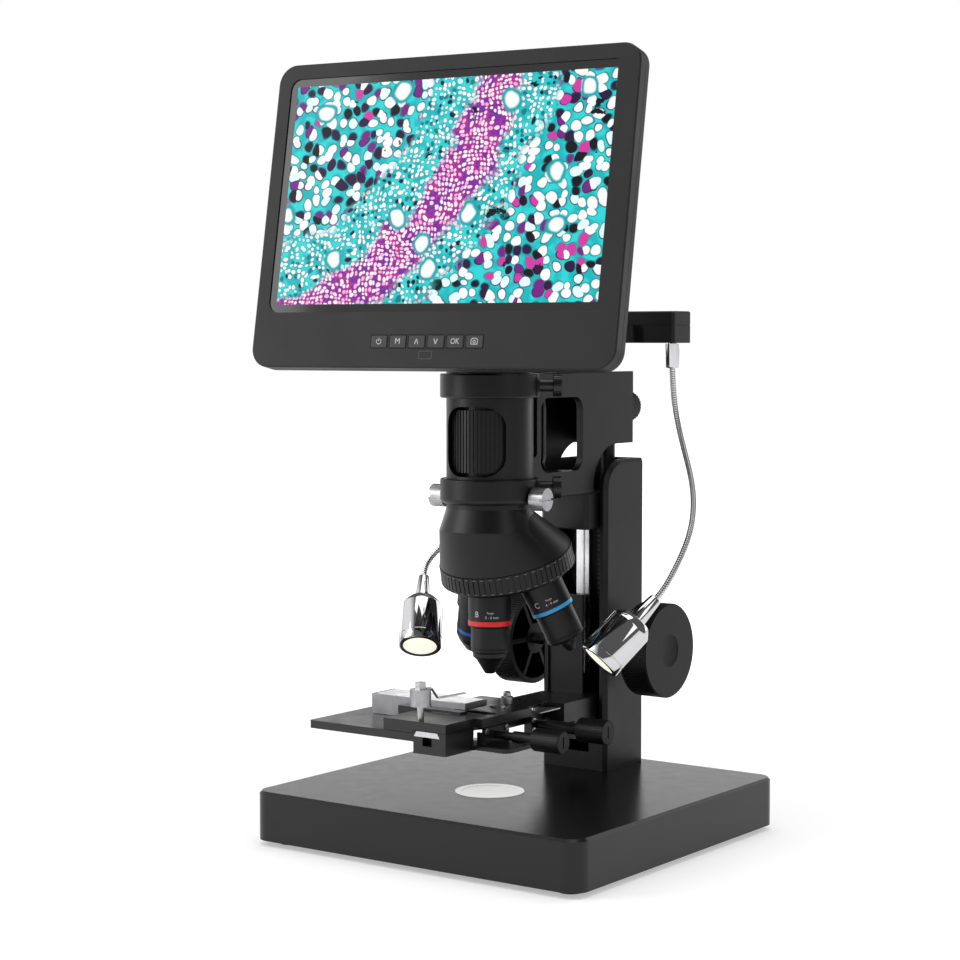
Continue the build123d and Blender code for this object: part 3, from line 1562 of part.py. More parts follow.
# ---------------------------------------------------------------- stage, cross slide (moves along Y)
post_hole = clip_post + running_gap
with BuildPart() as cross_slide:
    with BuildSketch(Plane.XY.offset(plate_bottom)):
        with BuildLine():
            Polyline(
                (plate_left, table_front),
                (block_right, table_front),
                (block_right, drive_floor_front),
                (plate_right, drive_floor_front),
                (plate_right, plate_step),
                (rear_plate_right, plate_step),
                (rear_plate_right, plate_back),
                (plate_left, plate_back),
                (plate_left, notch_back),
                (notch_right, notch_back),
                (notch_right, notch_front),
                (plate_left, notch_front),
                close=True,
            )
        make_face()
        with Locations(light_slot_place):
            SlotOverall(*light_slot, mode=Mode.SUBTRACT)
    extrude(amount=plate_top - plate_bottom)
    with BuildSketch(Plane.XY.offset(table_top + plate_gap)):
        with Locations(((plate_left + block_left - moving_gap) / 2, (table_front + notch_front) / 2)):
            Rectangle(block_left - moving_gap - plate_left, notch_front - table_front)
    extrude(amount=plate_bottom - table_top - plate_gap)
    with BuildSketch(Plane.XY.offset(table_top + plate_gap)):
        with BuildLine():
            Polyline(
                (x_guide_left, x_guide_front),
                (plate_left + 1, x_guide_front),
                (plate_left + 1, x_guide_front + x_guide_depth),
                (x_guide_left, x_guide_front + x_guide_depth),
                close=True,
            )
        make_face()
    extrude(amount=x_guide_top - table_top - plate_gap)
    with BuildSketch(Plane.XY.offset(plate_top)):
        with Locations(((x_guide_left + x_guide_right) / 2, x_guide_front + x_guide_depth / 2)):
            Rectangle(x_guide_right - x_guide_left, x_guide_depth)
    extrude(amount=x_guide_top - plate_top)
    with BuildSketch(Plane.XY.offset(plate_top - 3.0)):
        with Locations((clip_x, clip_y)):
            Circle(post_hole)
    extrude(amount=3.0, mode=Mode.SUBTRACT)
    with BuildSketch(Plane.YZ.offset(drive_pinion_left)):
        with BuildLine():
            low = drive_y - 7.0
            high = drive_y + 27.0
            teeth = rack_points(
                low, high, drive_y, drive_z + drive_pitch, plate_bottom, drive_pinion_module, 0.12, 1
            )
            Polyline(*teeth, close=True)
        make_face()
    extrude(amount=drive_pinion_right - drive_pinion_left)
    with BuildSketch(Plane.XY.offset(rear_bearing_bottom)):
        with Locations(((rear_bearing_left + rear_plate_right) / 2, rear_drive_y)):
            Rectangle(rear_plate_right - rear_bearing_left, 2 * rear_bearing_half)
    extrude(amount=plate_bottom - rear_bearing_bottom)
    with BuildSketch(Plane.YZ.offset(rear_bearing_left - 1)):
        with Locations((rear_drive_y, rear_drive_z)):
            Circle(drive_rod_radius + running_gap)
    extrude(amount=rear_plate_right - rear_bearing_left + 2, mode=Mode.SUBTRACT)
save(cross_slide, "cross_slide")


def drive_rod(y, z, left, thin_radius, thick_start, knob_size, pinion):
    """Hand-turned rod along X with its knurled knob."""
    with BuildPart() as rod:
        with BuildSketch(Plane.YZ.offset(left)):
            with Locations((y, z)):
                Circle(thin_radius)
        extrude(amount=thick_start - left)
        with BuildSketch(Plane.YZ.offset(thick_start)):
            with Locations((y, z)):
                Circle(drive_thick_radius)
        extrude(amount=drive_knob_start - thick_start)
        with BuildSketch(Plane.YZ.offset(drive_knob_start)):
            with Locations((y, z)):
                add(ribbed(knob_size, 30, 0.35))
        extrude(amount=drive_knob_end - drive_knob_start)
        chamfer(rod.faces().sort_by(Axis.X)[-1].edges(), 0.3)
        with BuildSketch(Plane.YZ.offset(drive_knob_end)):
            with Locations((y, z)):
                Rectangle(1.2, knob_size)
        extrude(amount=-0.8, mode=Mode.SUBTRACT)
        if pinion:
            with BuildSketch(Plane.YZ.offset(drive_pinion_left)):
                with Locations((y, z)):
                    add(gear_face(drive_pinion_teeth, drive_pinion_module, 0.12, 90.0))
            extrude(amount=drive_pinion_right - drive_pinion_left)
    return rod


front_rod = drive_rod(
    drive_y, drive_z, drive_pinion_left, drive_rod_radius, drive_thick_start, drive_knob_radius, True
)
rear_rod = drive_rod(
    rear_drive_y, rear_drive_z, rear_rod_left, drive_rod_radius, rear_thick_start, rear_knob_size, False
)
save(front_rod, "y_drive_rod")
save(rear_rod, "x_drive_rod")

# ---------------------------------------------------------------- stage, specimen bar (moves along X)
x_bar_front = x_guide_front + x_guide_depth + moving_gap
with BuildPart() as specimen_bar:
    with BuildSketch(Plane.XY.offset(table_top + plate_gap)):
        with Locations(((x_bar_left + x_bar_step) / 2, x_bar_front + x_bar_depth / 2)):
            Rectangle(x_bar_step - x_bar_left, x_bar_depth)
    extrude(amount=x_bar_top - table_top - plate_gap)
    with BuildSketch(Plane.XY.offset(x_guide_top + plate_gap)):
        with Locations(((x_bar_left + x_bar_right) / 2, x_bar_front + x_bar_depth / 2)):
            Rectangle(x_bar_right - x_bar_left, x_bar_depth)
    extrude(amount=x_bar_top - x_guide_top - plate_gap)
save(specimen_bar, "specimen_bar")

# ---------------------------------------------------------------- spring clip
blade_along = Vector(-clip_x, optical_y - clip_y, 0).normalized()
blade_plane = Plane(origin=(clip_x, clip_y, 0), x_dir=blade_along, z_dir=blade_along.cross(Vector(0, 0, 1)))
with BuildPart() as spring_clip:
    with BuildSketch(Plane.XY.offset(plate_top - 2.5)):
        with Locations((clip_x, clip_y)):
            Circle(clip_post)
    extrude(amount=clip_cap_top - plate_top + 2.5)
    with BuildSketch(Plane.XY.offset(clip_nut_bottom)):
        with Locations((clip_x, clip_y)):
            add(ribbed(clip_nut_radius, 24, 0.35))
    extrude(amount=clip_nut_top - clip_nut_bottom)
    with BuildSketch(Plane.XY.offset(clip_nut_top)):
        with Locations((clip_x, clip_y)):
            RegularPolygon(3.6, 6)
    extrude(amount=clip_cap_top - clip_nut_top)
    with BuildSketch(blade_plane.offset(-clip_blade_width / 2)):
        with BuildLine():
            blade = Polyline(
                (0, clip_nut_top + 0.3),
                (clip_blade_bend, clip_nut_top + 0.3),
                (clip_blade_foot, clip_blade_low),
                (clip_blade_reach, clip_blade_low + clip_blade_rise),
            )
            offset(blade, amount=clip_blade_thickness / 2, side=Side.BOTH)
        make_face()
    extrude(amount=clip_blade_width)
save(spring_clip, "spring_clip")
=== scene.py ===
"""Finish and fine detail of an LCD digital microscope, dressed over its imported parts.

Lengths in the tables below are millimetres; meshes are turned to metres when they are placed.
+X is the right-hand side of someone facing the display, +Y the back, +Z up.
"""

import math

import bmesh
import bpy
from mathutils import Matrix, Vector


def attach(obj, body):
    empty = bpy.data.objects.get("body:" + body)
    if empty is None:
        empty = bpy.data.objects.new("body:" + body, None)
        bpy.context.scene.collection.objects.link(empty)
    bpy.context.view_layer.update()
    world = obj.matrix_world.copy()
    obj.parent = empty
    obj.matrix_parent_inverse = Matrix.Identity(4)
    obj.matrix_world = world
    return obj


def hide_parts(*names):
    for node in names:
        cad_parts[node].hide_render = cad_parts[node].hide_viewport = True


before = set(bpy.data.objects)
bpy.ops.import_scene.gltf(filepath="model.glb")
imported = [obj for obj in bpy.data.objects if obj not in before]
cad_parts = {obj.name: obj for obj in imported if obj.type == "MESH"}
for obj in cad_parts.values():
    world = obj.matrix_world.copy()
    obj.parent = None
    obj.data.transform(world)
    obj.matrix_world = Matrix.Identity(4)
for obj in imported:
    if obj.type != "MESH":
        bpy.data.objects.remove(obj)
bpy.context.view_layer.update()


# ---------------------------------------------------------------- node and colour helpers
def hex_colour(code, alpha=1.0):
    """sRGB hex to the linear values a shader takes."""
    parts = [int(code[i : i + 2], 16) / 255 for i in (1, 3, 5)]
    linear = [p / 12.92 if p <= 0.04045 else ((p + 0.055) / 1.055) ** 2.4 for p in parts]
    return (*linear, alpha)


def add(material, kind, settings=None, links=None):
    """Add one node to a material or the world.

    A setting goes to the socket of that name or number or, where there is none, to an option.
    """
    tree = material.node_tree
    node = tree.nodes.new(kind)
    for name, value in (settings or {}).items():
        if isinstance(name, int) or name in node.inputs:
            node.inputs[name].default_value = value
        else:
            setattr(node, name, value)
    for name, socket in (links or {}).items():
        tree.links.new(socket, node.inputs[name])
    return node


def new_surface(name, colour, roughness, metallic=0.0, **sockets):
    """Principled material with its plain values set on the shader's own sockets."""
    material = bpy.data.materials.new(name)
    material.use_nodes = True
    shader = material.node_tree.nodes["Principled BSDF"]
    shader.inputs["Base Color"].default_value = hex_colour(colour)
    shader.inputs["Roughness"].default_value = roughness
    shader.inputs["Metallic"].default_value = metallic
    for socket, value in sockets.items():
        shader.inputs[socket.replace("_", " ")].default_value = value
    return material, shader


def per_metre(millimetres):
    """Texture scale that repeats once in so many millimetres, on Object coordinates in metres."""
    return 1000.0 / millimetres


def grain(material, shader, size, depth, place=None):
    """Fine bump over the whole surface; size and depth in millimetres."""
    place = place or add(material, "ShaderNodeTexCoord").outputs["Object"]
    pattern = {"Scale": per_metre(size), "Detail": 3.0}
    noise = add(material, "ShaderNodeTexNoise", pattern, {"Vector": place})
    relief = {"Strength": 1.0, "Distance": depth / 1000}
    bump = add(material, "ShaderNodeBump", relief, {"Height": noise.outputs["Fac"]})
    material.node_tree.links.new(bump.outputs["Normal"], shader.inputs["Normal"])


def uneven(material, shader, socket, size, low, high, place=None):
    """A socket that drifts between two values, in patches of a size in millimetres."""
    place = place or add(material, "ShaderNodeTexCoord").outputs["Object"]
    pattern = {"Scale": per_metre(size), "Detail": 4.0}
    noise = add(material, "ShaderNodeTexNoise", pattern, {"Vector": place})
    spread = add(
        material,
        "ShaderNodeMapRange",
        {"From Min": 0.3, "From Max": 0.7, "To Min": low, "To Max": high},
        {"Value": noise.outputs["Fac"]},
    )
    material.node_tree.links.new(spread.outputs["Result"], shader.inputs[socket])


def tinted(material, shader, size, dark, light):
    """Base colour that drifts between two close shades, in patches of a size in millimetres."""
    place = add(material, "ShaderNodeTexCoord").outputs["Object"]
    pattern = {"Scale": per_metre(size), "Detail": 3.0}
    noise = add(material, "ShaderNodeTexNoise", pattern, {"Vector": place})
    ramp = add(material, "ShaderNodeValToRGB", {}, {"Fac": noise.outputs["Fac"]})
    for element, position, colour in zip(ramp.color_ramp.elements, (0.3, 0.7), (dark, light)):
        element.position = position
        element.color = hex_colour(colour)
    material.node_tree.links.new(ramp.outputs["Color"], shader.inputs["Base Color"])


# ---------------------------------------------------------------- finishes
def powder_coat():
    """Baked powder coat on the base: satin black with the faint orange peel of sprayed powder."""
    material, shader = new_surface("powder_coat", "#0e0e0f", 0.25, Specular_IOR_Level=0.42)
    tinted(material, shader, 60.0, "#0d0d0e", "#101011")
    uneven(material, shader, "Roughness", 9.0, 0.245, 0.27)
    grain(material, shader, 0.9, 0.004)
    return material


def anodised_black():
    """Bead-blasted, black anodised aluminium: a soft satin highlight with a very fine tooth."""
    material, shader = new_surface("anodised_black", "#0e0e0f", 0.38, Specular_IOR_Level=0.36)
    tinted(material, shader, 30.0, "#0d0d0e", "#101011")
    uneven(material, shader, "Roughness", 20.0, 0.36, 0.42)
    grain(material, shader, 0.35, 0.0025)
    return material


def milled_black():
    """Machined, black anodised stage parts: a little glossier, with faint cutter lines along X."""
    material, shader = new_surface("milled_black", "#161617", 0.32)
    place = add(material, "ShaderNodeTexCoord").outputs["Object"]
    stretch = add(material, "ShaderNodeMapping", {"Scale": (0.05, 1.0, 1.0)}, {"Vector": place})
    grain(material, shader, 0.5, 0.002, stretch.outputs["Vector"])
    uneven(material, shader, "Roughness", 12.0, 0.29, 0.37, place)
    return material


def moulded_abs():
    """Moulded ABS of the display housing: even charcoal with a fine spark texture."""
    material, shader = new_surface("moulded_abs", "#1e1e1f", 0.48, Specular_IOR_Level=0.34)
    tinted(material, shader, 40.0, "#1d1d1e", "#202021")
    uneven(material, shader, "Roughness", 30.0, 0.46, 0.52)
    grain(material, shader, 0.3, 0.003)
    return material


def knob_plastic():
    """Glass-filled nylon of the hand wheels, dial and socket: dull black with a slight sheen."""
    material, shader = new_surface("knob_plastic", "#0e0e0f", 0.45, Specular_IOR_Level=0.3)
    tinted(material, shader, 15.0, "#0d0d0e", "#111112")
    grain(material, shader, 0.4, 0.004)
    return material


def key_cap():
    """Key caps: smoother moulding than the frame round them."""
    material, shader = new_surface("key_cap", "#262627", 0.40)
    tinted(material, shader, 8.0, "#242425", "#29292a")
    grain(material, shader, 0.25, 0.0015)
    return material


def chrome_plate():
    """Bright chrome plate on polished brass: a mirror with barely uneven polish."""
    material, shader = new_surface("chrome_plate", "#dcdcde", 0.05, 1.0)
    uneven(material, shader, "Roughness", 25.0, 0.035, 0.075)
    return material


def turned_steel():
    """Turned steel screws and shaft: softly bright, with a fine tooth in place of lathe marks."""
    material, shader = new_surface("turned_steel", "#b9b9bb", 0.28, 1.0)
    tinted(material, shader, 6.0, "#b0b0b2", "#c4c4c6")
    grain(material, shader, 0.3, 0.003)
    return material


def ground_steel():
    """Ground guide bars: long straight grinding lines along Z."""
    material, shader = new_surface("ground_steel", "#cfcfd1", 0.22, 1.0)
    place = add(material, "ShaderNodeTexCoord").outputs["Object"]
    stretch = add(material, "ShaderNodeMapping", {"Scale": (1.0, 1.0, 0.02)}, {"Vector": place})
    grain(material, shader, 0.4, 0.002, stretch.outputs["Vector"])
    uneven(material, shader, "Roughness", 10.0, 0.18, 0.28, place)
    return material


def matt_aluminium():
    """Bead-blasted clear anodised aluminium of the specimen guide."""
    material, shader = new_surface("matt_aluminium", "#8f8f91", 0.34, 1.0)
    tinted(material, shader, 8.0, "#88888a", "#99999b")
    grain(material, shader, 0.3, 0.003)
    return material


def blackened_steel_and_slot_shade():
    """Oil-blackened steel, also laid on screw heads as painted shade of their slots: dark, slightly
    oily shine.
    """
    material, shader = new_surface("blackened_steel_and_slot_shade", "#1a1a1b", 0.33)
    tinted(material, shader, 5.0, "#171718", "#202021")
    grain(material, shader, 0.4, 0.002)
    return material


def foot_rubber():
    """Moulded rubber feet: flat black, slightly dusty."""
    material, shader = new_surface("foot_rubber", "#141414", 0.75)
    tinted(material, shader, 4.0, "#121212", "#191918")
    grain(material, shader, 0.6, 0.01)
    return material


def opal_glass():
    """Opal diffuser glass over the base lamp: milk white with a soft gloss."""
    material, shader = new_surface("opal_glass", "#e6e6e3", 0.18, Emission_Strength=0.22)
    shader.inputs["Emission Color"].default_value = hex_colour("#ffffff")
    tinted(material, shader, 10.0, "#e1e1de", "#ebebe8")
    return material


def lamp_lens():
    """Frosted polycarbonate lens of the side lamps: warm white."""
    material, shader = new_surface("lamp_lens", "#e9e6d8", 0.35, Emission_Strength=0.85)
    shader.inputs["Emission Color"].default_value = hex_colour("#fff8e6")
    tinted(material, shader, 6.0, "#e5e2d3", "#eeebdd")
    grain(material, shader, 0.8, 0.006)
    return material


def circuit_board():
    """Green solder mask over glass-epoxy board: a soft gloss."""
    material, shader = new_surface("circuit_board", "#173a26", 0.35)
    tinted(material, shader, 5.0, "#14331f", "#1b442c")
    return material


def bush_bronze():
    """Sintered bronze of the shaft bushes: dull brown-gold, mottled by its grains."""
    material, shader = new_surface("bush_bronze", "#8d6a36", 0.4, 1.0)
    tinted(material, shader, 1.5, "#7f5e2e", "#9c7740")
    return material


def cover_glass():
    """Black-printed border of the display's cover glass: deep black under a hard gloss."""
    material, shader = new_surface("cover_glass", "#0b0b0c", 0.08)
    uneven(material, shader, "Roughness", 70.0, 0.06, 0.11)
    return material


def enamel(name, colour, shade):
    """Enamel, paint or print: one colour with a soft gloss and a faint drift to a second shade."""
    material, shader = new_surface(name, colour, 0.3)
    tinted(material, shader, 4.0, shade, colour)
    return material


powder, black, milled = powder_coat(), anodised_black(), milled_black()
abs_plastic, nylon, cap_plastic = moulded_abs(), knob_plastic(), key_cap()
chrome, steel, ground = chrome_plate(), turned_steel(), ground_steel()
aluminium, dark_steel_and_slot_shade, rubber = matt_aluminium(), blackened_steel_and_slot_shade(), foot_rubber()
opal, lens, board = opal_glass(), lamp_lens(), circuit_board()
bronze, border_glass = bush_bronze(), cover_glass()

node_finish = {
    "base_cover": powder,
    "base_plate": black,
    "base_screws": steel,
    "rubber_feet": rubber,
    "illuminator_ring": opal,
    "illuminator_glass": opal,
    "led_board": board,
    "power_socket": nylon,
    "dimmer_knob": nylon,
    "column": black,
    "column_cover": black,
    "guide_rails": ground,
    "shaft_bushes": bronze,
    "focus_shaft": steel,
    "focus_knob_left": nylon,
    "focus_knob_right": nylon,
    "slide_plate": black,
    "rack": dark_steel_and_slot_shade,
    "slide_bar": ground,
    "carriage_block": black,
    "arm_plate_left": black,
    "arm_plate_right": black,
    "arm_core": black,
    "top_collar": black,
    "low_collar": black,
    "lock_screws": dark_steel_and_slot_shade,
    "thumbscrews": steel,
    "rear_lock_knob": nylon,
    "tube": black,
    "focus_ring": black,
    "sensor_board": board,
    "display_yoke": black,
    "nosepiece_housing": black,
    "turret_ring": black,
    "objective_low": black,
    "objective_mid": black,
    "objective_high": black,
    "display_frame": abs_plastic,
    "display_back": abs_plastic,
    "lcd_panel": border_glass,
    "main_board": board,
    "lamp_bar": black,
    "lamp_head_left": chrome,
    "lamp_head_right": chrome,
    "gooseneck_left": chrome,
    "gooseneck_right": chrome,
    "stage_table": milled,
    "stage_bracket": milled,
    "guide_block": milled,
    "cross_slide": milled,
    "specimen_bar": aluminium,
    "spring_clip": steel,
    "x_drive_rod": nylon,
    "y_drive_rod": nylon,
}
key_names = ("power", "menu", "up", "down", "ok", "camera")
for key in key_names:
    node_finish[f"button_{key}"] = cap_plastic
for node, finish in node_finish.items():
    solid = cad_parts[node]
    solid.data.materials.clear()
    solid.data.materials.append(finish)


# ---------------------------------------------------------------- places and shapes
def spot(*millimetres):
    """A point or direction in millimetres."""
    return Vector(millimetres)


def local_frame(origin, x_dir, z_dir):
    """Matrix from local millimetres to the row frame in metres."""
    x_dir, z_dir = Vector(x_dir).normalized(), Vector(z_dir).normalized()
    y_dir = z_dir.cross(x_dir)
    turn = Matrix((x_dir, y_dir, z_dir)).transposed().to_4x4()
    return Matrix.Scale(0.001, 4) @ Matrix.Translation(Vector(origin)) @ turn


def axis_frame(origin, direction):
    """As local_frame, for turned pieces: local Z runs along the direction."""
    direction = Vector(direction).normalized()
    side = Vector((1, 0, 0)) if abs(direction.x) < 0.9 else Vector((0, 1, 0))
    return local_frame(origin, side - direction * side.dot(direction), direction)


WORLD = Matrix.Scale(0.001, 4)


def finish_piece(name, shape, place, body, surface, smooth_angle=35.0):
    """Turn a bmesh in local millimetres into a placed piece that rides on a body."""
    bmesh.ops.remove_doubles(shape, verts=shape.verts, dist=1e-4)
    bmesh.ops.recalc_face_normals(shape, faces=shape.faces)
    bmesh.ops.transform(shape, matrix=place, verts=shape.verts)
    mesh = bpy.data.meshes.new(name)
    shape.to_mesh(mesh)
    shape.free()
    mesh.materials.append(surface)
    mesh.shade_smooth()
    mesh.set_sharp_from_angle(angle=math.radians(smooth_angle))
    piece = bpy.data.objects.new(name, mesh)
    bpy.context.scene.collection.objects.link(piece)
    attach(piece, body)
    return piece


def turned(profile, steps=64):
    """Spin a profile of (radius, height) points round local Z."""
    shape = bmesh.new()
    line = [shape.verts.new((radius, 0, height)) for radius, height in profile]
    edges = [shape.edges.new(pair) for pair in zip(line, line[1:])]
    bmesh.ops.spin(
        shape,
        geom=line + edges,
        cent=(0, 0, 0),
        axis=(0, 0, 1),
        angle=math.tau,
        steps=steps,
        use_merge=True,
    )
    return shape


def plate(outline, thickness):
    """Flat outline in local XY, pushed up along local Z."""
    shape = bmesh.new()
    face = shape.faces.new([shape.verts.new((x, y, 0)) for x, y in outline])
    pushed = bmesh.ops.extrude_face_region(shape, geom=[face])
    lifted = [v for v in pushed["geom"] if isinstance(v, bmesh.types.BMVert)]
    bmesh.ops.translate(shape, vec=(0, 0, thickness), verts=lifted)
    return shape


def rounded_outline(width, height, radius, steps=6, middle=(0.0, 0.0)):
    """Points of a rectangle with round corners."""
    points = []
    for quarter, (sx, sy) in enumerate(((1, 1), (-1, 1), (-1, -1), (1, -1))):
        cx = middle[0] + sx * (width / 2 - radius)
        cy = middle[1] + sy * (height / 2 - radius)
        for step in range(steps + 1):
            angle = math.pi / 2 * (quarter + step / steps)
            points.append((cx + radius * math.cos(angle), cy + radius * math.sin(angle)))
    return points


def block(low, high):
    """Box between two corners."""
    low, high = Vector(low), Vector(high)
    shape = bmesh.new()
    bmesh.ops.create_cube(shape, size=1.0)
    bmesh.ops.scale(shape, vec=high - low, verts=shape.verts)
    bmesh.ops.translate(shape, vec=(low + high) / 2, verts=shape.verts)
    return shape


def join(target, other):
    """Add another bmesh's geometry to the first."""
    carrier = bpy.data.meshes.new("carrier")
    other.to_mesh(carrier)
    other.free()
    target.from_mesh(carrier)
    bpy.data.meshes.remove(carrier)
    return target


# ---------------------------------------------------------------- display
optical_y = -31.35  # the tube's axis
yaw, lean = math.radians(6.8), math.radians(10.84)
screen_bottom, screen_ahead = 334.9, 71.8  # height of its lower edge, and distance before the axis
ahead = spot(math.sin(yaw), -math.cos(yaw), 0)
sideways = spot(math.cos(yaw), math.sin(yaw), 0)
facing = ahead * math.cos(lean) + spot(0, 0, math.sin(lean))
display_foot = spot(0, optical_y, screen_bottom) + ahead * screen_ahead
display_place = local_frame(display_foot, sideways, facing)
screen_width, screen_height = 216.96, 135.6


def lit_screen():
    """Lit panel: an invented stained plant section, in round cells 3 to 9 mm apart."""
    material, shader = new_surface(
        "lit_screen", "#050505", 0.25, Specular_IOR_Level=0.15, Emission_Strength=1.0
    )

    def parted(value, edge, softness, below, above):
        """One colour below an edge in a value and another above it, with a soft border."""
        low, high = edge - softness, edge + softness
        border = {"From Min": low, "From Max": high, "To Min": 0.0, "To Max": 1.0}
        share = add(material, "ShaderNodeMapRange", border, {"Value": value})
        settings, links = {"data_type": "RGBA"}, {0: share.outputs["Result"]}
        for index, colour in ((6, below), (7, above)):
            if isinstance(colour, str):
                settings[index] = hex_colour(colour)
            else:
                links[index] = colour
        return add(material, "ShaderNodeMix", settings, links).outputs[2]

    # one unit of the screen's own map is 100 mm
    place = add(material, "ShaderNodeUVMap", {"uv_map": "screen"}).outputs["UV"]
    drift = add(material, "ShaderNodeTexNoise", {"Scale": 5.0, "Detail": 2.0}, {"Vector": place})
    pulled = add(
        material,
        "ShaderNodeVectorMath",
        {"operation": "MULTIPLY_ADD", 1: (0.10, 0.10, 0.0)},
        {0: drift.outputs["Color"], 2: place},
    )
    warped = pulled.outputs[0]

    cell_variety, wall_thickness = 0.16, 0.10

    def tissue(scale, lumen_size, lumens, walls, ground, randomness=0.85):
        """One kind of tissue: coloured lumens, their walls, and the ground between them."""
        settings = {"Scale": scale, "Randomness": randomness, "voronoi_dimensions": "2D"}
        cell = add(material, "ShaderNodeTexVoronoi", settings, {"Vector": warped})
        chance = add(material, "ShaderNodeSeparateColor", {}, {"Color": cell.outputs["Color"]})
        smaller = {"operation": "MULTIPLY", 1: cell_variety}
        smaller_cell = add(material, "ShaderNodeMath", smaller, {0: chance.outputs["Blue"]})
        sum_of = {0: cell.outputs["Distance"], 1: smaller_cell.outputs[0]}
        away = add(material, "ShaderNodeMath", {"operation": "ADD"}, sum_of).outputs[0]
        shades = []
        for channel, entries in (("Red", lumens), ("Green", walls)):
            picked = add(material, "ShaderNodeValToRGB", {}, {"Fac": chance.outputs[channel]})
            picked.color_ramp.interpolation = "CONSTANT"
            while len(picked.color_ramp.elements) < len(entries):
                picked.color_ramp.elements.new(0.5)
            for element, (position, colour) in zip(picked.color_ramp.elements, entries):
                element.position = position
                element.color = hex_colour(colour)
            shades.append(picked.outputs["Color"])
        lumen_colour, wall_colour = shades
        ringed = parted(away, lumen_size + wall_thickness, 0.03, wall_colour, ground)
        return parted(away, lumen_size, 0.035, lumen_colour, ringed)

    # where the tissue layers run: rings round a point past the upper left corner
    rings_middle = {"operation": "SUBTRACT", 1: (-0.30, 1.75, 0.0)}
    centre = add(material, "ShaderNodeVectorMath", rings_middle, {0: warped})
    span = add(material, "ShaderNodeVectorMath", {"operation": "LENGTH"}, {0: centre.outputs[0]})
    reach = span.outputs["Value"]
    ripple = {"Scale": 3.0, "Detail": 3.0}
    wave = add(material, "ShaderNodeTexNoise", ripple, {"Vector": place}).outputs["Fac"]
    swell = add(material, "ShaderNodeMath", {"operation": "MULTIPLY", 1: 0.35}, {0: wave})
    sum_of = {0: reach, 1: swell.outputs[0]}
    depth = add(material, "ShaderNodeMath", {"operation": "ADD"}, sum_of).outputs[0]
    patches = {"Scale": 9.0, "Detail": 2.0}
    blotch = add(material, "ShaderNodeTexNoise", patches, {"Vector": place}).outputs["Fac"]
    teal = parted(blotch, 0.5, 0.06, "#12b9bf", "#2cd9da")

    pith = tissue(
        15.0,
        0.50,
        [
            (0.0, "#ffffff"),
            (0.46, "#e6fdfd"),
            (0.60, "#2a0f3d"),
            (0.72, "#0b0911"),
            (0.84, "#7a1f86"),
            (0.93, "#d63aa6"),
        ],
        [(0.0, "#0a8d94"), (0.45, "#0d6f86"), (0.7, "#451a5e"), (0.88, "#101320")],
        teal,
    )
    cambium = tissue(
        30.0,
        0.42,
        [(0.0, "#ffffff"), (0.55, "#c9fbfa"), (0.8, "#0b7f88"), (0.93, "#1c1236")],
        [(0.0, "#0f9aa1"), (0.7, "#0a7d8a")],
        teal,
        0.7,
    )
    wood = tissue(
        36.0,
        0.46,
        [(0.0, "#fde6f6"), (0.4, "#f6b3e0"), (0.66, "#ffffff"), (0.88, "#7b2aa0")],
        [(0.0, "#c2309c"), (0.55, "#8e2a9c"), (0.85, "#4d1f86")],
        parted(blotch, 0.52, 0.05, "#b32a93", "#6f2b9b"),
        0.45,
    )
    rind = tissue(
        11.0,
        0.46,
        [(0.0, "#ffffff"), (0.34, "#09070d"), (0.6, "#ef5cc0"), (0.8, "#30103f")],
        [(0.0, "#d62a9a"), (0.5, "#a01f86"), (0.8, "#1b0f22")],
        parted(blotch, 0.47, 0.05, "#e43fb0", "#f7a4dc"),
        1.0,
    )

    # from the corner outwards: where each layer starts, how soft its border is, and its tissue
    picture = rind
    for start, softness, layer in (
        (0.62, 0.02, pith),
        (1.55, 0.03, cambium),
        (1.86, 0.02, wood),
        (2.16, 0.03, cambium),
        (2.34, 0.03, pith),
    ):
        picture = parted(depth, start, softness, picture, layer)

    # dark clumps, then large vessels: white, with a thick ringed wall
    ragged = {"Scale": 5.5, "Detail": 4.0, "Roughness": 0.65}
    clump = add(material, "ShaderNodeTexNoise", ragged, {"Vector": warped})
    picture = parted(clump.outputs["Fac"], 0.665, 0.01, picture, "#0c0a14")
    vessel = add(
        material,
        "ShaderNodeTexVoronoi",
        {"Scale": 1.9, "Randomness": 1.0, "voronoi_dimensions": "2D"},
        {"Vector": warped},
    )
    vessel_shade = parted(vessel.outputs["Distance"], 0.09, 0.012, "#ffffff", "#0fa9b0")
    picture = parted(vessel.outputs["Distance"], 0.13, 0.012, vessel_shade, picture)

    material.node_tree.links.new(picture, shader.inputs["Emission Color"])
    return material


# the lit area of the panel: a skin on the cover glass with its own UV map, in units of 100 mm
screen_thickness = 0.06
screen_outline = rounded_outline(screen_width, screen_height, 0.4, 2, (0.0, screen_height / 2))
screen_shape = plate(screen_outline, screen_thickness)
uv_map = screen_shape.loops.layers.uv.new("screen")
for face in screen_shape.faces:
    for loop in face.loops:
        loop[uv_map].uv = (loop.vert.co.x / 100 + 1.1, loop.vert.co.y / 100)
finish_piece("screen_image", screen_shape, display_place, "display", lit_screen())

# ---------------------------------------------------------------- keys
ink = enamel("key_print", "#d2d2d2", "#c4c4c4")
frame_front = 0.8
key_pitch, key_row = 12.9, -22.8
key_face = frame_front + 0.5  # a key stands 0.5 mm out of the frame
print_thickness = 0.06


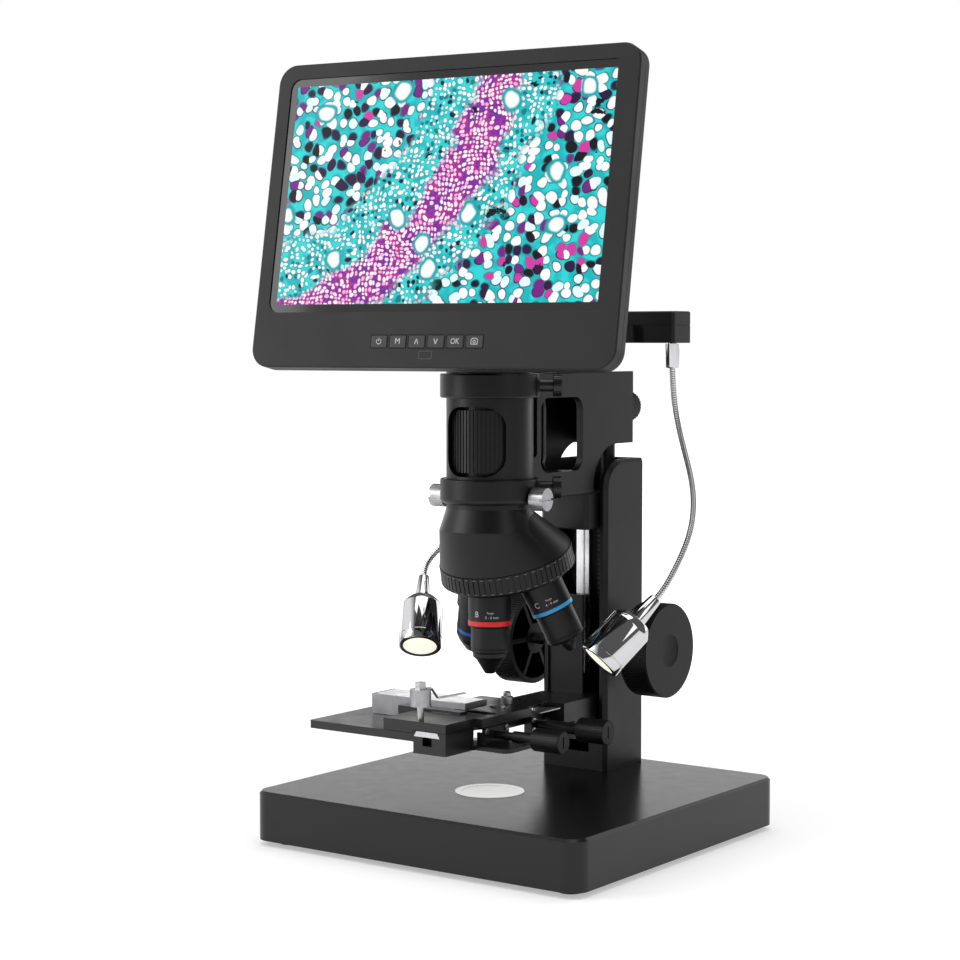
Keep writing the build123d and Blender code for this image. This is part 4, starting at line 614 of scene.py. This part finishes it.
def arc_bar(inner, outer, start, sweep, thickness, steps=32, middle=(0.0, 0.0)):
    """Flat ring or part of one, standing on local XY."""
    shape = bmesh.new()
    start = math.radians(start)
    corners = [(inner, 0), (outer, 0), (outer, thickness), (inner, thickness)]
    loop = [shape.verts.new((r * math.cos(start), r * math.sin(start), z)) for r, z in corners]
    face = shape.faces.new(loop)
    full = sweep >= 360
    bmesh.ops.spin(
        shape,
        geom=[face],
        cent=(0, 0, 0),
        axis=(0, 0, 1),
        angle=math.radians(sweep),
        steps=steps,
        use_merge=full,
    )
    if full:  # the spin leaves its first face inside the ring
        shape.faces.ensure_lookup_table()
        inside = [
            f
            for f in shape.faces
            if len(f.verts) == 4
            and abs(f.normal.z) < 0.1
            and abs(f.normal.dot(f.calc_center_median())) < 1e-4
        ]
        bmesh.ops.delete(shape, geom=inside, context="FACES_ONLY")
    bmesh.ops.translate(shape, vec=(*middle, 0), verts=shape.verts)
    return shape


def bar(start, end, width, thickness):
    """Flat straight stroke between two points of local XY."""
    start, end = Vector((*start, 0)), Vector((*end, 0))
    along = (end - start).normalized()
    across = Vector((-along.y, along.x, 0)) * width / 2
    corners = (start + across, start - across, end - across, end + across)
    return plate([(p.x, p.y) for p in corners], thickness)


def lettering(text, size, place, spread=1.0):
    """Printed letters as a thin mesh round the local origin."""
    curve = bpy.data.curves.new("letters", "FONT")
    curve.body, curve.size, curve.extrude = text, size, print_thickness / 2
    curve.align_x = curve.align_y = "CENTER"
    curve.resolution_u = 3
    holder = bpy.data.objects.new("letters", curve)
    mesh = bpy.data.meshes.new_from_object(holder)
    shape = bmesh.new()
    shape.from_mesh(mesh)
    bmesh.ops.scale(shape, vec=(spread, 1, 1), verts=shape.verts)
    bmesh.ops.translate(shape, vec=(place[0], place[1], print_thickness / 2), verts=shape.verts)
    bpy.data.objects.remove(holder)
    bpy.data.curves.remove(curve)
    bpy.data.meshes.remove(mesh)
    return shape


def key_mark(name):
    """The sign on one key, drawn round the key's middle."""
    if name == "power":
        ring = arc_bar(1.35, 1.75, 125, 290, print_thickness)
        return join(ring, bar((0, 0.4), (0, 2.1), 0.42, print_thickness))
    if name == "camera":
        body = bar((-2.1, -1.6), (2.1, -1.6), 0.4, print_thickness)
        for start, end in (
            ((-2.1, -1.7), (-2.1, 1.2)),
            ((2.1, -1.7), (2.1, 1.2)),
            ((-2.2, 1.1), (-0.9, 1.9)),
            ((2.2, 1.1), (0.9, 1.9)),
            ((-1.0, 1.85), (1.0, 1.85)),
        ):
            body = join(body, bar(start, end, 0.4, print_thickness))
        return join(body, arc_bar(0.6, 1.0, 0, 360, print_thickness, 24, (0.0, -0.1)))
    if name in ("up", "down"):
        rise = 1.6 if name == "up" else -1.6
        left = bar((-1.15, -rise), (0.0, rise), 0.5, print_thickness)
        return join(left, bar((0.0, rise), (1.15, -rise), 0.5, print_thickness))
    return lettering({"menu": "M", "ok": "OK"}[name], 4.9, (0, 0), 1.0 if name == "menu" else 0.82)


for index, key in enumerate(key_names):
    across = (index - 2.5) * key_pitch
    place = display_place @ Matrix.Translation((across, key_row, key_face))
    finish_piece(f"mark_{key}", key_mark(key), place, f"button_{key}_cap", ink)

# line round the light sensor's window, under the keys
window_line = enamel("window_line", "#4a4a4b", "#434344")
window_middle = (0.0, -30.75)
outer_line = rounded_outline(9.0, 4.9, 0.9, 5, window_middle)
inner_line = rounded_outline(8.3, 4.2, 0.6, 5, window_middle)
window = bmesh.new()
rims = [[window.verts.new((x, y, 0)) for x, y in line] for line in (outer_line, inner_line)]
window_edges = [window.edges.new((rim[i - 1], rim[i])) for rim in rims for i in range(len(rim))]
bmesh.ops.bridge_loops(window, edges=window_edges)
raised = bmesh.ops.extrude_face_region(window, geom=window.faces[:])
raised_verts = [v for v in raised["geom"] if isinstance(v, bmesh.types.BMVert)]
bmesh.ops.translate(window, vec=(0, 0, 0.05), verts=raised_verts)
window_place = display_place @ Matrix.Translation((0, 0, frame_front))
finish_piece("sensor_window_line", window, window_place, "display", window_line)

# ---------------------------------------------------------------- lamps
lamp_length, lamp_sleeve = 35.0, 18.0
# radius and distance behind the lamp's face
lamp_profile = [
    (11.0, 1.0),
    (11.0, 0.25),
    (11.3, 0.0),
    (13.3, 0.0),
    (13.8, 0.25),
    (14.0, 0.7),
    (14.0, 5.6),
    (13.55, 5.8),
    (13.55, 6.3),
    (14.0, 6.5),
    (14.0, 29.2),
    (13.7, 30.2),
    (10.6, 34.3),
    (9.8, 35.0),
    (6.1, 35.0),
    (5.7, 35.5),
    (3.9, 52.4),
    (3.5, 53.0),
    (0.0, 53.0),
]
rim_rubber, rim_shader = new_surface("gasket_rubber", "#080808", 0.3)
tinted(rim_rubber, rim_shader, 4.0, "#070707", "#0a0a0a")
lamp_places = {
    "right": (spot(59.8, -0.2, 116.5), spot(-0.425, -0.57, -0.705)),
    "left": (spot(-75.2, -4.3, 115.2), spot(0.33, -0.52, -0.79)),
}
for side, (face_middle, aim) in lamp_places.items():
    place = axis_frame(face_middle, -aim)
    body = f"lamp_{side}"
    shell = turned([(0.0, 1.0), *lamp_profile], 96)
    shell_piece = finish_piece(f"lamp_shell_{side}", shell, place, body, chrome, 28.0)
    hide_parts(f"lamp_head_{side}")
    lens_profile = [(0.0, 0.15), (7.0, 0.2), (10.2, 0.35), (10.9, 0.6), (10.9, 0.98), (0.0, 0.98)]
    glass = turned(lens_profile, 64)
    finish_piece(f"lamp_lens_{side}", glass, place, body, lens)
    gasket = [(10.95, 0.5), (11.0, 0.02), (12.9, -0.02), (13.25, 0.1), (13.25, 0.5), (10.95, 0.5)]
    gasket_ring = turned(gasket, 72)
    finish_piece(f"lamp_gasket_{side}", gasket_ring, place, body, rim_rubber)

# a neck's radius over the crests and in the grooves, and from crest to crest
neck_radius, neck_root, neck_pitch = 2.1, 1.72, 1.5
sleeve_foot = spot(68.7, 71.0, 295.6)
neck_routes = {
    "right": [
        (69.3, 71.4, 282.0),
        (71.1, 71.5, 268.0),
        (74.4, 71.4, 254.6),
        (79.0, 70.3, 241.6),
        (83.9, 68.5, 229.3),
        (88.0, 65.5, 217.0),
        (90.5, 61.2, 204.2),
        (91.1, 55.4, 191.6),
        (89.9, 48.1, 179.5),
        (87.6, 40.4, 167.8),
    ],
    "left": [
        (-68.4, 71.2, 281.0),
        (-68.2, 70.8, 264.5),
        (-68.9, 69.2, 248.0),
        (-70.6, 66.0, 232.0),
        (-73.4, 61.0, 217.0),
        (-77.0, 54.4, 203.0),
        (-81.1, 46.8, 190.5),
        (-85.6, 38.9, 180.0),
        (-93.9, 30.8, 168.3),
    ],
}


def smooth_path(points):
    """Points of one smooth curve that follows a neck's route, in millimetres."""
    curve = bpy.data.curves.new("route", "CURVE")
    curve.dimensions = "3D"
    spline = curve.splines.new("NURBS")
    spline.points.add(len(points) - 1)
    for control, point in zip(spline.points, points):
        control.co = (*point, 1.0)
    spline.order_u = 3
    spline.use_endpoint_u = True
    spline.resolution_u = 16
    holder = bpy.data.objects.new("route", curve)
    mesh = bpy.data.meshes.new_from_object(holder)
    line = [vertex.co.copy() for vertex in mesh.vertices]
    bpy.data.objects.remove(holder)
    bpy.data.curves.remove(curve)
    bpy.data.meshes.remove(mesh)
    return line


def even_stations(line, step):
    """Points a fixed step apart along a line."""
    stations, carry = [line[0]], 0.0
    for start, end in zip(line, line[1:]):
        run = (end - start).length
        while carry + step <= run:
            carry += step
            stations.append(start.lerp(end, carry / run))
        carry -= run
    stations.append(line[-1])
    return stations


def corrugated(line, crest, root, pitch, sides=10):
    """Tube whose skin rises and falls once in every pitch, as a wound metal hose does."""
    stations = even_stations(line, pitch / 3)
    shape = bmesh.new()
    heading = (stations[1] - stations[0]).normalized()
    turn = heading.to_track_quat("Z", "X")
    start = Matrix.Translation(stations[0]) @ turn.to_matrix().to_4x4()
    bmesh.ops.create_circle(shape, cap_ends=False, segments=sides, radius=1.0, matrix=start)
    rim = shape.edges[:]
    present = start
    for index in range(len(stations)):
        if index:
            near, far = stations[index - 1], stations[min(index + 1, len(stations) - 1)]
            new_heading = (far - near).normalized()
            turn = heading.rotation_difference(new_heading) @ turn
            heading = new_heading
            pushed = bmesh.ops.extrude_edge_only(shape, edges=rim)["geom"]
            rim = [e for e in pushed if isinstance(e, bmesh.types.BMEdge)]
            rim = [e for e in rim if all(len(v.link_edges) < 4 for v in e.verts)]
        # three rings to a pitch: half way up, on the crest and in the groove
        radius = crest if index % 3 == 1 else root if index % 3 == 2 else (crest + root) / 2
        facing_on = Matrix.Translation(stations[index]) @ turn.to_matrix().to_4x4()
        wanted = facing_on @ Matrix.Scale(radius, 4)
        ring = list({v for e in rim for v in e.verts})
        bmesh.ops.transform(shape, matrix=wanted @ present.inverted(), verts=ring)
        present = wanted
    bmesh.ops.holes_fill(shape, edges=[e for e in shape.edges if e.is_boundary], sides=sides)
    return shape


# radius and height over the neck's upper end
ferrule_profile = [
    (0.0, 0.2),
    (3.5, 0.2),
    (3.9, 0.5),
    (4.1, 1.0),
    (4.7, 15.2),
    (4.75, 15.6),
    (3.0, 15.6),
    (3.0, 24.0),
    (0.0, 24.0),
]
for side, sign in (("right", 1), ("left", -1)):
    face_middle, aim = lamp_places[side]
    aim = aim.normalized()
    foot = spot(sign * sleeve_foot.x, sleeve_foot.y, sleeve_foot.z)
    lamp_end = face_middle - aim * (lamp_length + lamp_sleeve)
    start, lead_in, end = foot + spot(0, 0, 1), lamp_end - aim * 6.0, lamp_end + aim * 1.0
    route = [tuple(start), tuple(foot), *neck_routes[side], tuple(lead_in), tuple(end)]
    tube_shape = corrugated(smooth_path(route), neck_radius, neck_root, neck_pitch)
    neck = finish_piece(f"neck_{side}", tube_shape, WORLD, f"lamp_{side}", chrome, 80.0)
    place, shape = axis_frame(foot, (0, 0, 1)), turned(ferrule_profile, 48)
    ferrule = finish_piece(f"ferrule_{side}", shape, place, f"lamp_{side}", chrome)
    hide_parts(f"gooseneck_{side}")
    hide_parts(f"gooseneck_{side}")

# ---------------------------------------------------------------- objectives
turret_lean = math.radians(18.0)
apex = spot(0, optical_y, 231.0)
turret_axis = spot(0, math.sin(turret_lean), -math.cos(turret_lean))


def objective_line(quarter):
    """Direction of an objective, so many quarter turns from the working place."""
    return Matrix.Rotation(math.radians(90 * quarter), 3, turret_axis) @ Vector((0, 0, -1))


red_ring = enamel("red_ring", "#f01825", "#e01520")
blue_ring = enamel("blue_ring", "#35a5ea", "#2f99db")
navy_ring = enamel("navy_ring", "#2369cc", "#1f5fbb")
# painted highlight on the knurled ridges of the turret ring
knurl_highlight_paint = enamel("knurl_highlight_paint", "#8e8e90", "#6f6f71")
# painted shade for the vent slots on the display's back
shadow_gap = enamel("shadow_gap", "#050505", "#080808")
white_ring = enamel("white_ring", "#b9b9ba", "#a9a9aa")
tip_glass, tip_shader = new_surface("coated_lens", "#0c0f16", 0.04)
uneven(tip_glass, tip_shader, "Roughness", 3.0, 0.03, 0.07)

# name, quarter turn, colour ring, its middle, radius and width, the tip's radius and distance
objectives = (
    ("low", 0, red_ring, 91.4, 13.3, 3.0, 2.9, 123.1),
    ("mid", 3, blue_ring, 91.4, 13.3, 2.4, 2.5, 121.0),
    ("high", 1, navy_ring, 110.5, 12.1, 2.4, 3.4, 128.0),
)
for name, quarter, colour, middle_s, radius, width, tip, length in objectives:
    place = axis_frame(apex, objective_line(quarter))
    low_s, high_s = middle_s - width / 2, middle_s + width / 2
    under, proud = radius - 0.02, radius + 0.12
    skin = [(under, low_s), (proud, low_s + 0.1), (proud, high_s - 0.1), (under, high_s)]
    ring = turned(skin + [skin[0]], 72)
    finish_piece(f"colour_ring_{name}", ring, place, "turret", colour)
    lens_face = tip * 0.7 - 0.02
    glass = [
        (0.0, length - 0.55),
        (lens_face * 0.6, length - 0.7),
        (lens_face, length - 1.1),
        (lens_face, length - 2.0),
        (0.0, length - 2.0),
    ]
    front_lens = turned(glass, 32)
    finish_piece(f"front_lens_{name}", front_lens, place, "turret", tip_glass)


def wrapped(shape, radius):
    """Bend flat print round local Z, so that it lies on a barrel."""
    for vertex in shape.verts:
        angle, reach = vertex.co.x / radius, radius + vertex.co.z
        vertex.co = (reach * math.cos(angle), reach * math.sin(angle), vertex.co.y)
    return shape


toward_camera, camera_right = Vector((0.586, -0.810, 0)), Vector((0.810, 0.586, 0))
# name, quarter turn, barrel's radius, the print's distance from the apex, its letter and range
printed = (
    ("low", 0, 13.3, 86.0, "B", "2 - 6 mm"),
    ("mid", 3, 13.3, 85.6, "C", "4 - 9 mm"),
)
for name, quarter, radius, middle_s, letter, span in printed:
    line = objective_line(quarter)
    outward = toward_camera - line * toward_camera.dot(line)
    place = local_frame(apex + line * middle_s, outward, -line)
    print_shape = join(lettering(letter, 5.0, (-8.6, 0.4)), lettering(span, 2.3, (1.2, -1.2)))
    join(print_shape, lettering("Range", 1.7, (0.2, 1.6)))
    print_shape = wrapped(print_shape, radius + 0.02)
    finish_piece(f"objective_mark_{name}", print_shape, place, "turret", ink)

# ---------------------------------------------------------------- focus knob caps
knob_face_x, shaft_y, shaft_z = 61.5, 81.0, 114.0
cap_profile = [(0.0, 0.02), (9.6, 0.02), (10.1, 0.3), (10.25, 0.3), (10.25, -0.1), (0.0, -0.1)]
for side, sign in (("left", -1), ("right", 1)):
    cap = turned(cap_profile, 64)
    place = axis_frame((sign * knob_face_x, shaft_y, shaft_z), (sign, 0, 0))
    finish_piece(f"knob_cap_{side}", cap, place, "focus", rubber)


# ---------------------------------------------------------------- stage fittings
def slotted_screw(name, place, radius, height, body):
    """Cheese-head screw; its slot is not cut, a dark bar on the head is painted shade for it; local
    Z comes out of the part.
    """
    edge = 0.25
    skin = [
        (0.0, 0.0),
        (radius, 0.0),
        (radius, height - edge),
        (radius - edge, height),
        (radius * 0.16, height),
        (0.0, height),
    ]
    finish_piece(name, turned(skin, 32), place, body, steel)
    # painted shade: a thin dark bar standing just proud of the head, in place of the slot's shaded
    # recess
    low_corner = (-radius * 0.86, -radius * 0.13, height - 0.05)
    slot_shade_bar = block(low_corner, (radius * 0.86, radius * 0.13, height + 0.04))
    finish_piece(f"{name}_slot", slot_shade_bar, place, body, dark_steel_and_slot_shade)


right, up, front = (1, 0, 0), (0, 0, 1), (0, -1, 0)
plate_top, guide_top, holder_top = 82.5, 84.0, 88.0
guide_feet = ((8.3, -46.1, 74.1), (8.3, -25.3, 74.2))
bearing_feet = ((4.5, 10.0, 73.0), (4.5, 10.0, 66.7))
top_feet = ((-4.5, -8.6, plate_top), (-15.0, -6.9, plate_top))
# name, feet of its screws, the slot's direction, the way out, radius, height and body
screw_sets = (
    ("guide_screw", guide_feet, (0, 1, 0.4), right, 1.9, 0.9, "stand"),
    ("bearing_screw", bearing_feet, (0, 1, -0.5), right, 1.9, 0.9, "cross_slide"),
    ("top_screw", top_feet, (1, 0.7, 0), up, 2.4, 0.7, "cross_slide"),
)
for name, feet, along, outward, radius, height, body in screw_sets:
    for index, foot in enumerate(feet):
        slotted_screw(f"{name}_{index}", local_frame(foot, along, outward), radius, height, body)

dovetail = plate([(-7.85, 0.0), (7.85, 0.0), (9.8, -3.2), (-9.8, -3.2)], 0.35)
dovetail_place = local_frame((-11.5, -80.52, 76.7), right, front)
finish_piece("dovetail_end", dovetail, dovetail_place, "stand", ground)

nut = [
    (0.0, 0.0),
    (4.0, 0.0),
    (4.0, 4.6),
    (3.2, 5.0),
    (2.4, 5.2),
    (2.4, 7.4),
    (2.0, 8.0),
    (0.0, 8.0),
]
nut_place = axis_frame((-12.3, 4.6, plate_top + 0.1), up)
finish_piece("holder_nut", turned(nut, 40), nut_place, "cross_slide", steel, 30.0)
lever_head = [(0.0, 0.0), (2.1, 0.0), (2.1, 1.3), (0.0, 1.6)]
lever_shape = join(bar((0, 0), (-7.6, 26.0), 1.7, 1.2), turned(lever_head, 24))
lever_place = local_frame((14.9, -5.7, plate_top + 0.5), right, up)
finish_piece("holder_lever", lever_shape, lever_place, "cross_slide", chrome)
tab = plate([(8.7, 2.5), (25.0, 9.6), (25.5, -13.3), (17.2, -9.9)], 0.6)
tab_place = local_frame((0, 0, plate_top + 0.05), right, up)
finish_piece("holder_tab", tab, tab_place, "cross_slide", steel)

tick_count, tick_pitch, tick_length, long_tick = 25, 1.9, 2.6, 4.2  # every fifth is long
ticks = None
for step in range(tick_count):
    place_x = -59.0 + step * tick_pitch
    mark = bar((place_x, 0.0), (place_x, tick_length if step % 5 else long_tick), 0.28, 0.05)
    ticks = join(ticks, mark) if ticks else mark
scale_place = local_frame((0, -45.6, guide_top + 0.01), right, up)
finish_piece("guide_scale", ticks, scale_place, "cross_slide", white_ring)

top_blade = plate(rounded_outline(70.0, 21.0, 1.0, 4, (-49.5, -27.0)), 0.25)
blade_place = local_frame((0, 0, holder_top), right, up)
finish_piece("specimen_blade", top_blade, blade_place, "specimen", ground)

# ---------------------------------------------------------------- revolving nosepiece
ring_place = axis_frame(apex, turret_axis)
# two rows of light grey dashes round the ring's knurled bands: painted highlights where the knurl
# catches the light
dash_count, dash_sweep = 48, 3.0  # degrees
for name, distance, radius in (("upper", 53.4, 41.85), ("lower", 62.6, 42.4)):
    dashes = None
    for step in range(dash_count):
        dash = arc_bar(radius - 0.4, radius + 0.05, step * 360 / dash_count, dash_sweep, 0.25, 2)
        bmesh.ops.translate(dash, vec=(0, 0, distance), verts=dash.verts)
        dashes = join(dashes, dash) if dashes else dash
    finish_piece(f"knurl_glint_line_{name}", dashes, ring_place, "turret", knurl_highlight_paint)

# ---------------------------------------------------------------- back of the display
shell_back = 24.0  # from the screen to the bulge's face
facing_back = display_place @ Matrix.Rotation(math.pi, 4, "Y")
back_place = facing_back @ Matrix.Translation((0, 0, shell_back))
for index, (x, y) in enumerate(((-64.0, 4.0), (64.0, 4.0), (-64.0, 99.0), (64.0, 99.0))):
    place = back_place @ Matrix.Translation((x, y, 0))
    slotted_screw(f"back_screw_{index}", place, 2.6, 0.5, "display")
# the vent slots are not cut: thin dark plates on the back's face are painted shade standing in for
# them
vent_rows, vent_columns, vent_pitch, vent_row_pitch = 2, 14, 6.0, 18.0
vents = None
for row in range(vent_rows):
    for step in range(vent_columns):
        vent_middle = (-39.0 + step * vent_pitch, 84.0 - row * vent_row_pitch)
        slot = plate(rounded_outline(2.0, 12.0, 0.99, 4, vent_middle), 0.06)
        vents = join(vents, slot) if vents else slot
finish_piece("back_vent_shade", vents, back_place, "display", shadow_gap)


# ---------------------------------------------------------------- floor, light and camera
def studio_floor():
    """Seamless pale paper: white to the camera, with the object's soft shadow left on it."""
    material, shader = new_surface("seamless_paper", "#d8d8d8", 0.9, Specular_IOR_Level=0.0)
    path = add(material, "ShaderNodeLightPath")
    from_middle = {0: add(material, "ShaderNodeTexCoord").outputs["Object"]}
    far = add(material, "ShaderNodeVectorMath", {"operation": "LENGTH"}, from_middle)
    rise = add(
        material,
        "ShaderNodeMapRange",
        {"From Min": 0.4, "From Max": 0.85, "To Min": 0.4, "To Max": 1.0},
        {"Value": far.outputs["Value"]},
    )
    white = {"Color": (1, 1, 1, 1)}
    lift = add(material, "ShaderNodeEmission", white, {"Strength": rise.outputs["Result"]})
    dark = add(material, "ShaderNodeEmission", {"Strength": 0.0})
    faint = add(material, "ShaderNodeEmission", {**white, "Strength": 0.3})
    in_mirrors = {0: path.outputs["Is Glossy Ray"], 1: dark.outputs[0], 2: faint.outputs[0]}
    mirrored = add(material, "ShaderNodeMixShader", {}, in_mirrors)
    to_camera = {0: path.outputs["Is Camera Ray"], 1: mirrored.outputs[0], 2: lift.outputs[0]}
    glow = add(material, "ShaderNodeMixShader", {}, to_camera)
    total = add(material, "ShaderNodeAddShader", {}, {0: shader.outputs[0], 1: glow.outputs[0]})
    out = material.node_tree.nodes["Material Output"]
    material.node_tree.links.new(total.outputs[0], out.inputs["Surface"])
    return material


floor_radius = 9.0  # metres
floor_shape = bmesh.new()
bmesh.ops.create_circle(floor_shape, cap_ends=True, segments=96, radius=floor_radius)
floor_mesh = bpy.data.meshes.new("floor")
floor_shape.to_mesh(floor_mesh)
floor_shape.free()
floor_mesh.materials.append(studio_floor())
floor = bpy.data.objects.new("floor", floor_mesh)
bpy.context.scene.collection.objects.link(floor)

# the world is white to the camera and through glass, a dimmer fill to the surfaces, and to
# reflections dark, with two bright walls: one behind and low down, one at the left
world = bpy.data.worlds.new("studio")
bpy.context.scene.world = world
world.use_nodes = True
world.node_tree.nodes.clear()
path = add(world, "ShaderNodeLightPath")
compass = add(world, "ShaderNodeTexCoord").outputs["Generated"]
rearward = {"operation": "DOT_PRODUCT", 1: -toward_camera}
behind = add(world, "ShaderNodeVectorMath", rearward, {0: compass})
height = add(world, "ShaderNodeSeparateXYZ", {}, {"Vector": compass})
turned_back = add(
    world,
    "ShaderNodeMapRange",
    {"From Min": 0.42, "From Max": 0.85, "To Min": 0.0, "To Max": 1.0},
    {"Value": behind.outputs["Value"]},
)
low_down = add(
    world,
    "ShaderNodeMapRange",
    {"From Min": 0.175, "From Max": 0.26, "To Min": 1.0, "To Max": 0.0},
    {"Value": height.outputs["Z"]},
)
both = {0: turned_back.outputs[0], 1: low_down.outputs[0]}
backdrop = add(world, "ShaderNodeMath", {"operation": "MULTIPLY"}, both)
leftward = {"operation": "DOT_PRODUCT", 1: -camera_right}
beside = add(world, "ShaderNodeVectorMath", leftward, {0: compass})
turned_left = add(
    world,
    "ShaderNodeMapRange",
    {"From Min": 0.45, "From Max": 0.7, "To Min": 0.0, "To Max": 0.55},
    {"Value": beside.outputs["Value"]},
)
raised = add(
    world,
    "ShaderNodeMapRange",
    {"From Min": 0.05, "From Max": 0.3, "To Min": 0.0, "To Max": 1.0},
    {"Value": height.outputs["Z"]},
)
both = {0: turned_left.outputs[0], 1: raised.outputs[0]}
side_wall = add(world, "ShaderNodeMath", {"operation": "MULTIPLY"}, both)
both = {0: backdrop.outputs[0], 1: side_wall.outputs[0]}
walls = add(world, "ShaderNodeMath", {"operation": "MAXIMUM"}, both)
mirrored = add(
    world,
    "ShaderNodeMapRange",
    {"From Min": 0.0, "From Max": 1.0, "To Min": 0.11, "To Max": 1.7},
    {"Value": walls.outputs[0]},
)
white = {"Color": (1, 1, 1, 1)}
fill = add(world, "ShaderNodeBackground", {**white, "Strength": 0.6})
reflected = add(world, "ShaderNodeBackground", white, {"Strength": mirrored.outputs[0]})
plain = add(world, "ShaderNodeBackground", {**white, "Strength": 1.0})
in_mirrors = {0: path.outputs["Is Glossy Ray"], 1: fill.outputs[0], 2: reflected.outputs[0]}
shiny = add(world, "ShaderNodeMixShader", {}, in_mirrors)
both = {0: path.outputs["Is Camera Ray"], 1: path.outputs["Is Transmission Ray"]}
straight = add(world, "ShaderNodeMath", {"operation": "MAXIMUM"}, both)
to_camera = {0: straight.outputs[0], 1: shiny.outputs[0], 2: plain.outputs[0]}
sky = add(world, "ShaderNodeMixShader", {}, to_camera)
add(world, "ShaderNodeOutputWorld", {}, {"Surface": sky.outputs[0]})

lamp_target = Vector((0, 0, 0.22))
# name, place in metres, width and height in metres, and watts
softboxes = (
    ("left_softbox", toward_camera * 0.35 - camera_right * 1.6 + Vector((0, 0, 0.8)), 0.7, 1.6, 11),
    ("front_softbox", toward_camera * 1.5 + camera_right * 1.3 + Vector((0, 0, 1.1)), 0.8, 1.2, 4),
    ("top_softbox", Vector((0, 0.1, 1.9)), 1.5, 1.5, 12),
    ("rear_softbox", -toward_camera * 1.1 + camera_right * 1.4 + Vector((0, 0, 0.8)), 0.6, 1.4, 3),
)
for name, position, width, height, power in softboxes:
    lamp = bpy.data.lights.new(name, "AREA")
    lamp.shape = "RECTANGLE"
    lamp.size, lamp.size_y, lamp.energy = width, height, power
    holder = bpy.data.objects.new(name, lamp)
    bpy.context.scene.collection.objects.link(holder)
    holder.location = position
    holder.rotation_euler = (lamp_target - position).to_track_quat("-Z", "Y").to_euler()

camera_pitch, camera_turn = 3.658, 35.863  # degrees down and to the left
camera_data = bpy.data.cameras.new("camera")
camera_data.lens = 83.27
camera_data.sensor_width = 36.0
camera = bpy.data.objects.new("camera", camera_data)
bpy.context.scene.collection.objects.link(camera)
camera.location = (0.7939, -1.1399, 0.3147)
camera.rotation_euler = (math.radians(90 - camera_pitch), 0, math.radians(camera_turn))
bpy.context.scene.camera = camera
bpy.context.scene.view_settings.view_transform = "Standard"
